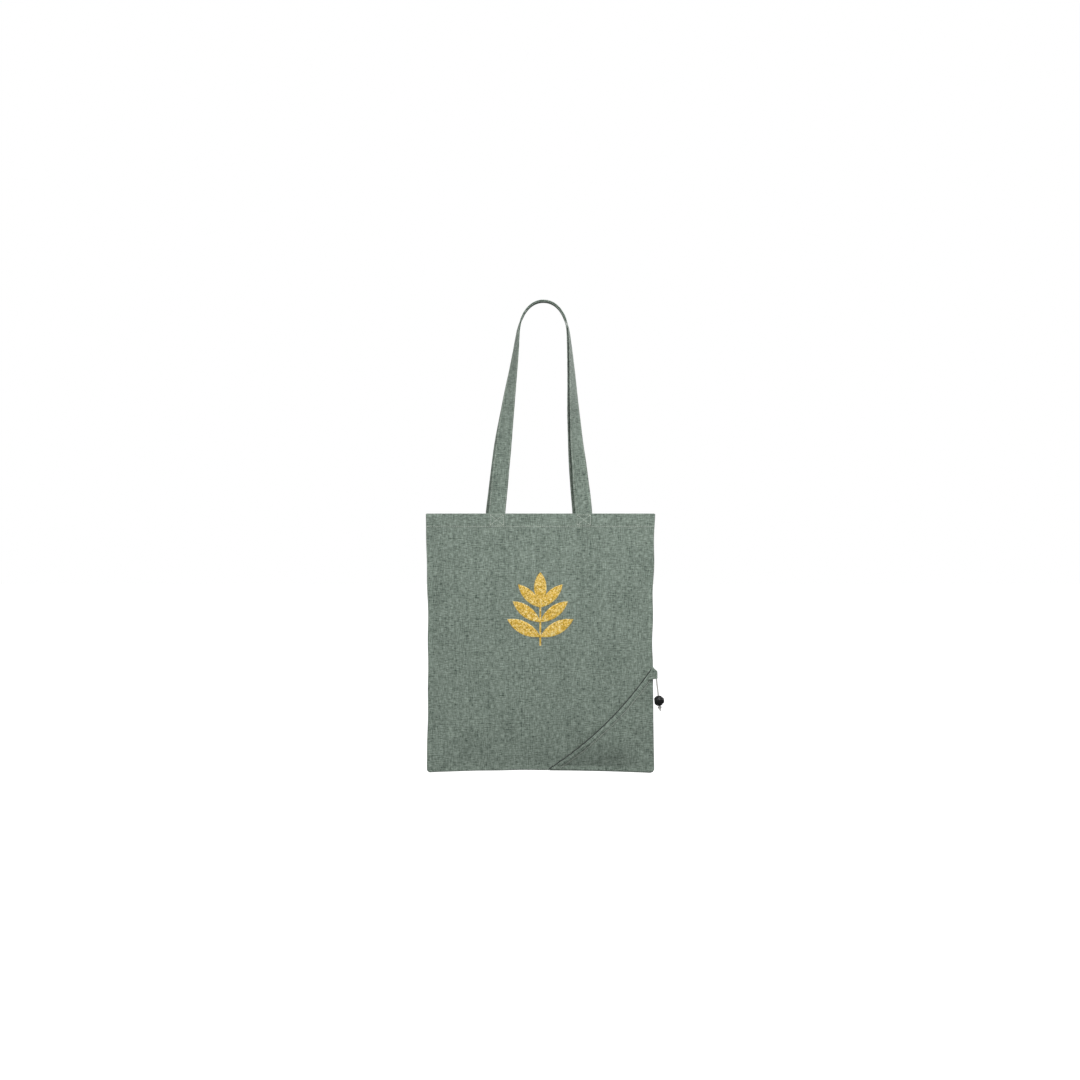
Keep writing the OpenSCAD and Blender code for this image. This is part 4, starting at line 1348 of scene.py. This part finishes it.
def make_handle(name, side, body):
    """A strap with its two sewn ends, and the rows of stitches along its edges."""
    middle, across, outward = handle_frames(side)
    run = run_along(middle)
    seed = 31 if side == FRONT else 61
    sway = 0.25 * waves(run, 0 * run, seed, 5, (60, 160), (60, 90))
    cup = 0.28 * waves(run, 0 * run, seed + 1, 5, (70, 200), (60, 90))
    free = ease((run - 26) / 30) * ease((run[-1] - 26 - run) / 30)
    face = strap_section()
    section = np.concatenate([face, face[::-1] * np.array([1, -1])])
    a = section[None, :, 0] + (sway * free)[:, None]
    bend = (cup * free)[:, None] * (1 - (section[None, :, 0] / (STRAP_W / 2)) ** 2)
    small = 0.05 * waves(run[:, None], a, seed + 2, 10, (8, 30), (8, 24)) * free[:, None]
    b = section[None, :, 1] + bend + small
    points = middle[:, None] + a[..., None] * across[:, None] + b[..., None] * outward[:, None]
    around = run_along(section)
    around = np.append(around, around[-1] + 0.56)
    uvs = pairs(around[None, :] + STRAP_U, run[:, None]) * M
    strap = mend(grid_piece(name, points * M, uvs, wrap_cols=True), fill_holes)
    follow_handle(strap)
    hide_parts(body, f"{body}_left_end", f"{body}_right_end")
    finish_with(strap, "strap_cloth")
    bend_at_row = cup * free * (1 - (STRAP_ROW / (STRAP_W / 2)) ** 2)
    rows = []
    for edge, face_side in ((-1, -1), (-1, 1), (1, -1), (1, 1)):
        lift = face_side * (STRAP_T / 2 - 0.16) + bend_at_row
        line = middle + (edge * STRAP_ROW + sway * free)[:, None] * across + lift[:, None] * outward
        rows.append((line * M, face_side * outward))
    threads = stitch_piece(f"{name}_topstitch", rows, thick=0.42)
    follow_handle(threads)
    finish_with(threads, "thread")


def follow_handle(piece):
    """Bakes the placement of a strap or its stitches into its mesh."""
    rim = RIM_Z * M
    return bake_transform(piece)


# ---------- Stitches ----------

STITCH = 3.2
STITCH_GAP = 0.7
THREAD_D = 0.62


def stitch_piece(name, rows, thick=THREAD_D):
    """Single stitches along rows, each a line of points in metres with the face's normals."""
    sides = 5
    heights = np.array([-0.35, 0.18, 0.24, 0.18, -0.35]) * thick * M
    points = []
    faces = []
    for line, normals in rows:
        run = run_along(line)
        count = max(1, int(round(run[-1] / (STITCH * M))))
        step = run[-1] / count
        for k in range(count):
            gap = STITCH_GAP * M / 2
            at = np.linspace(k * step + gap, (k + 1) * step - gap, len(heights))
            spots = np.stack([np.interp(at, run, line[:, c]) for c in range(3)], axis=-1)
            up = unit(np.stack([np.interp(at, run, normals[:, c]) for c in range(3)], axis=-1))
            spots = spots + up * heights[:, None]
            ahead = spots[-1] - spots[0]
            ahead = ahead / np.linalg.norm(ahead)
            ring = ring_around(sides, np.cross(ahead, up), up)
            base = len(points)
            points.extend((spots[:, None] + thick / 2 * M * ring).reshape(-1, 3))
            for i in range(len(heights) - 1):
                for j in range(sides):
                    a = base + i * sides + j
                    b = base + i * sides + (j + 1) % sides
                    faces.append([a, b, b + sides, a + sides])
            faces.append([base + j for j in range(sides)][::-1])
            faces.append([base + (len(heights) - 1) * sides + j for j in range(sides)])
    return mend(new_piece(name, points, faces))


def facing_out(normals, side):
    """Normals made one long and turned away from the middle of the bag."""
    normals = unit(normals)
    return normals * np.where(normals[:, 1:2] * side > 0, 1, -1)


def face_line(side, x, q):
    """A line on a side of the bag with its normals."""
    def at(dx, dq):
        return place(x + dx, side * stand(side, x + dx, q + dq), q + dq)
    normals = np.cross(at(0.5, 0) - at(-0.5, 0), at(0, 0.5) - at(0, -0.5))
    return at(0, 0), facing_out(normals, side)


def hem_rows(side):
    x = np.linspace(-1, 1, 400) * (half_w(HEM_SEAM_Q) - 1.5)
    return [face_line(side, x, HEM_SEAM_Q + 0 * x)]


def anchor_rows(side):
    """A box with a cross in it over each strap end."""
    rows = []
    w = STRAP_W / 2 - 3
    top = 2.2
    low = HEM_SEAM_Q - 2
    box = [(-w, top), (w, top), (w, low), (-w, low)]
    lines = [*zip(box, box[1:] + box[:1]), (box[0], box[2]), (box[3], box[1])]
    for middle in ANCHORS[side]:
        for a, b in lines:
            x = middle + np.linspace(a[0], b[0], 30)
            rows.append(face_line(side, x, np.linspace(a[1], b[1], 30)))
    return rows


def channel_rows():
    """The row that closes the channel, on the pocket's cloth."""
    t = np.linspace(mouth_start(CHANNEL_ROW) + 0.01, mouth_end(CHANNEL_ROW) - 0.006, 300)
    lines = []
    for dw, dt in ((0, 0), (0.3, 0), (0, 0.002)):
        x, q = mouth(t + dt, CHANNEL_ROW + dw)
        lines.append(place(x, -(pocket_stand(x, q) + 0.30), q))
    return [(lines[0], facing_out(np.cross(lines[1] - lines[0], lines[2] - lines[0]), FRONT))]


make_handle("handle_front", FRONT, "front_handle")
make_handle("handle_back", BACK, "back_handle")

threads = []
for side, word in ((FRONT, "front"), (BACK, "back")):
    for kind, rows in (("hem", hem_rows(side)), ("anchor", anchor_rows(side))):
        row = stitch_piece(f"{word}_{kind}_thread", rows)
        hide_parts(f"{word}_{kind}_stitches")
        if side == FRONT:
            follow_mouth(row)
        else:
            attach(row, "upper")
        threads.append(row)
channel_thread = stitch_piece("channel_thread", channel_rows())
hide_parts("channel_stitches")
follow_fold(channel_thread)
threads.append(channel_thread)
for row in threads:
    finish_with(row, "thread")


# ---------- Printed sprig ----------

EMBLEM_LOW, EMBLEM_HIGH = node_box("emblem")
EMBLEM_H = EMBLEM_HIGH[2] - EMBLEM_LOW[2]
EMBLEM_W = 110.0
EMBLEM_Q = RIM_Z - (EMBLEM_LOW[2] + EMBLEM_HIGH[2]) / 2
LEAF_L = EMBLEM_H * 0.42
LEAF_W = EMBLEM_H * 0.17
LEAF_PAIRS = 3
STEM_W = 3.0
PRINT_LIFT = 0.06
PRINT_T = 0.30


def print_blade(name, base, lean, half_width, length, lift):
    """One shape of the sprig: half_width gives its half width along its length. lean is to the right."""
    along = length * (1 - np.cos(np.linspace(0, math.pi, 44))) / 2
    c = np.sin(np.linspace(-math.pi / 2, math.pi / 2, 15))
    wide = c[None, :] * half_width(along)[:, None]
    x = base[0] + along[:, None] * math.sin(lean) + wide * math.cos(lean)
    up = base[1] + along[:, None] * math.cos(lean) - wide * math.sin(lean)
    q = EMBLEM_Q - up
    edge = np.sqrt(np.maximum(1 - c ** 8, 0))[None, :] * np.ones_like(x)
    ground = stand(FRONT, x, q) + PRINT_LIFT + lift
    outer = place(x, -(ground + PRINT_T * (0.25 + 0.75 * edge)), q)
    inner = place(x, -(ground - 0.30), q)
    return slab_piece(name, outer, inner, pairs(x, BAG_H - q) * M)


def lens(length, width):
    """Half the width of a pointed leaf along its length."""
    radius = (length * length + width * width) / 4 / width
    return lambda along: np.sqrt(radius ** 2 - (along - length / 2) ** 2) - (radius - width / 2)


def make_emblem():
    """A sprig with a stem, a leaf at its tip and pairs of leaves that get shorter towards it."""
    low = -EMBLEM_H / 2
    stem_l = EMBLEM_H - LEAF_L * 0.9
    stem = print_blade("emblem_print", (0, low), 0.0, lambda along: STEM_W / 2 + 0 * along, stem_l, 0.04)
    tip = print_blade("leaf", (0, EMBLEM_H / 2 - LEAF_L), 0.0, lens(LEAF_L, LEAF_W), LEAF_L, 0.0)
    shapes = [stem, tip]
    for side in (-1, 1):
        for k in range(LEAF_PAIRS):
            lean = math.radians(62 - 9 * k)
            reach = EMBLEM_W / 2 * (0.98 - 0.16 * k) / math.sin(lean)
            base = (0, low + EMBLEM_H * (0.12 + 0.2 * k))
            shape = lens(reach, LEAF_W * (1 - 0.08 * k))
            shapes.append(print_blade("leaf", base, side * lean, shape, reach, 0.01 * k))
    emblem = join(*shapes)
    follow_mouth(emblem)
    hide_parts("emblem")
    finish_with(emblem, "glitter_print")
    return emblem


emblem = make_emblem()

# ---------- Cut sizes of the cloth ----------

(FOLD_Q + HEM_H) * M
(BAG_H - FOLD_Q) * M


# ---------- Floor, light and surroundings ----------

FLOOR_GAP = 3.2
FLOOR_SIZE = 400
FILL_LOW = 0.16
FILL_HIGH = 0.64


def make_room():
    bpy.ops.mesh.primitive_plane_add(size=FLOOR_SIZE, location=(0, 0, cad_low.z - FLOOR_GAP))
    floor = bpy.context.object
    floor.name = "floor"
    floor.visible_diffuse = False
    floor.visible_glossy = False
    white = Paint("floor_white", Base_Color=(0.95, 0.95, 0.95, 1), Roughness=0.9,
                  Emission_Color=(1, 1, 1, 1), Emission_Strength=0.7)
    floor.data.materials.append(white.material)
    select_only()


def soft_light(name, place_at, aim, size, power):
    data = bpy.data.lights.new(name, "AREA")
    data.size = size
    data.energy = power
    lamp = bpy.data.objects.new(name, data)
    lamp.location = place_at
    lamp.rotation_euler = (Vector(aim) - Vector(place_at)).to_track_quat("-Z", "Y").to_euler()
    bpy.context.scene.collection.objects.link(lamp)


def make_world():
    """White behind the bag, and a grey fill around it, brighter from above."""
    world = bpy.data.worlds.new("studio")
    world.use_nodes = True
    tree = world.node_tree
    back = tree.nodes["Background"]
    back.inputs["Color"].default_value = (1, 1, 1, 1)
    fill = tree.nodes.new("ShaderNodeBackground")
    fill.inputs["Color"].default_value = (1, 1, 1, 1)
    where = tree.nodes.new("ShaderNodeTexCoord")
    height = tree.nodes.new("ShaderNodeSeparateXYZ")
    level = tree.nodes.new("ShaderNodeMapRange")
    level.inputs["From Min"].default_value = -1
    level.inputs["To Min"].default_value = FILL_LOW
    level.inputs["To Max"].default_value = FILL_HIGH
    link = tree.links.new
    link(where.outputs["Generated"], height.inputs[0])
    link(height.outputs["Z"], level.inputs["Value"])
    link(level.outputs[0], fill.inputs["Strength"])
    seen = tree.nodes.new("ShaderNodeLightPath")
    either = tree.nodes.new("ShaderNodeMixShader")
    link(seen.outputs["Is Camera Ray"], either.inputs[0])
    link(fill.outputs[0], either.inputs[1])
    link(back.outputs[0], either.inputs[2])
    link(either.outputs[0], tree.nodes["World Output"].inputs[0])
    bpy.context.scene.world = world


make_room()
make_world()
soft_light("key", (0.4, -1.12, 0.6), (0, 0, -0.4), 0.8, 17)
soft_light("side", (-1.5, -1.3, 0.45), (0, 0, -0.4), 1.0, 9)
soft_light("top", (0.2, 0.9, 1.9), (0, 0, -0.45), 1.6, 30)
bpy.context.scene.view_settings.view_transform = "Standard"
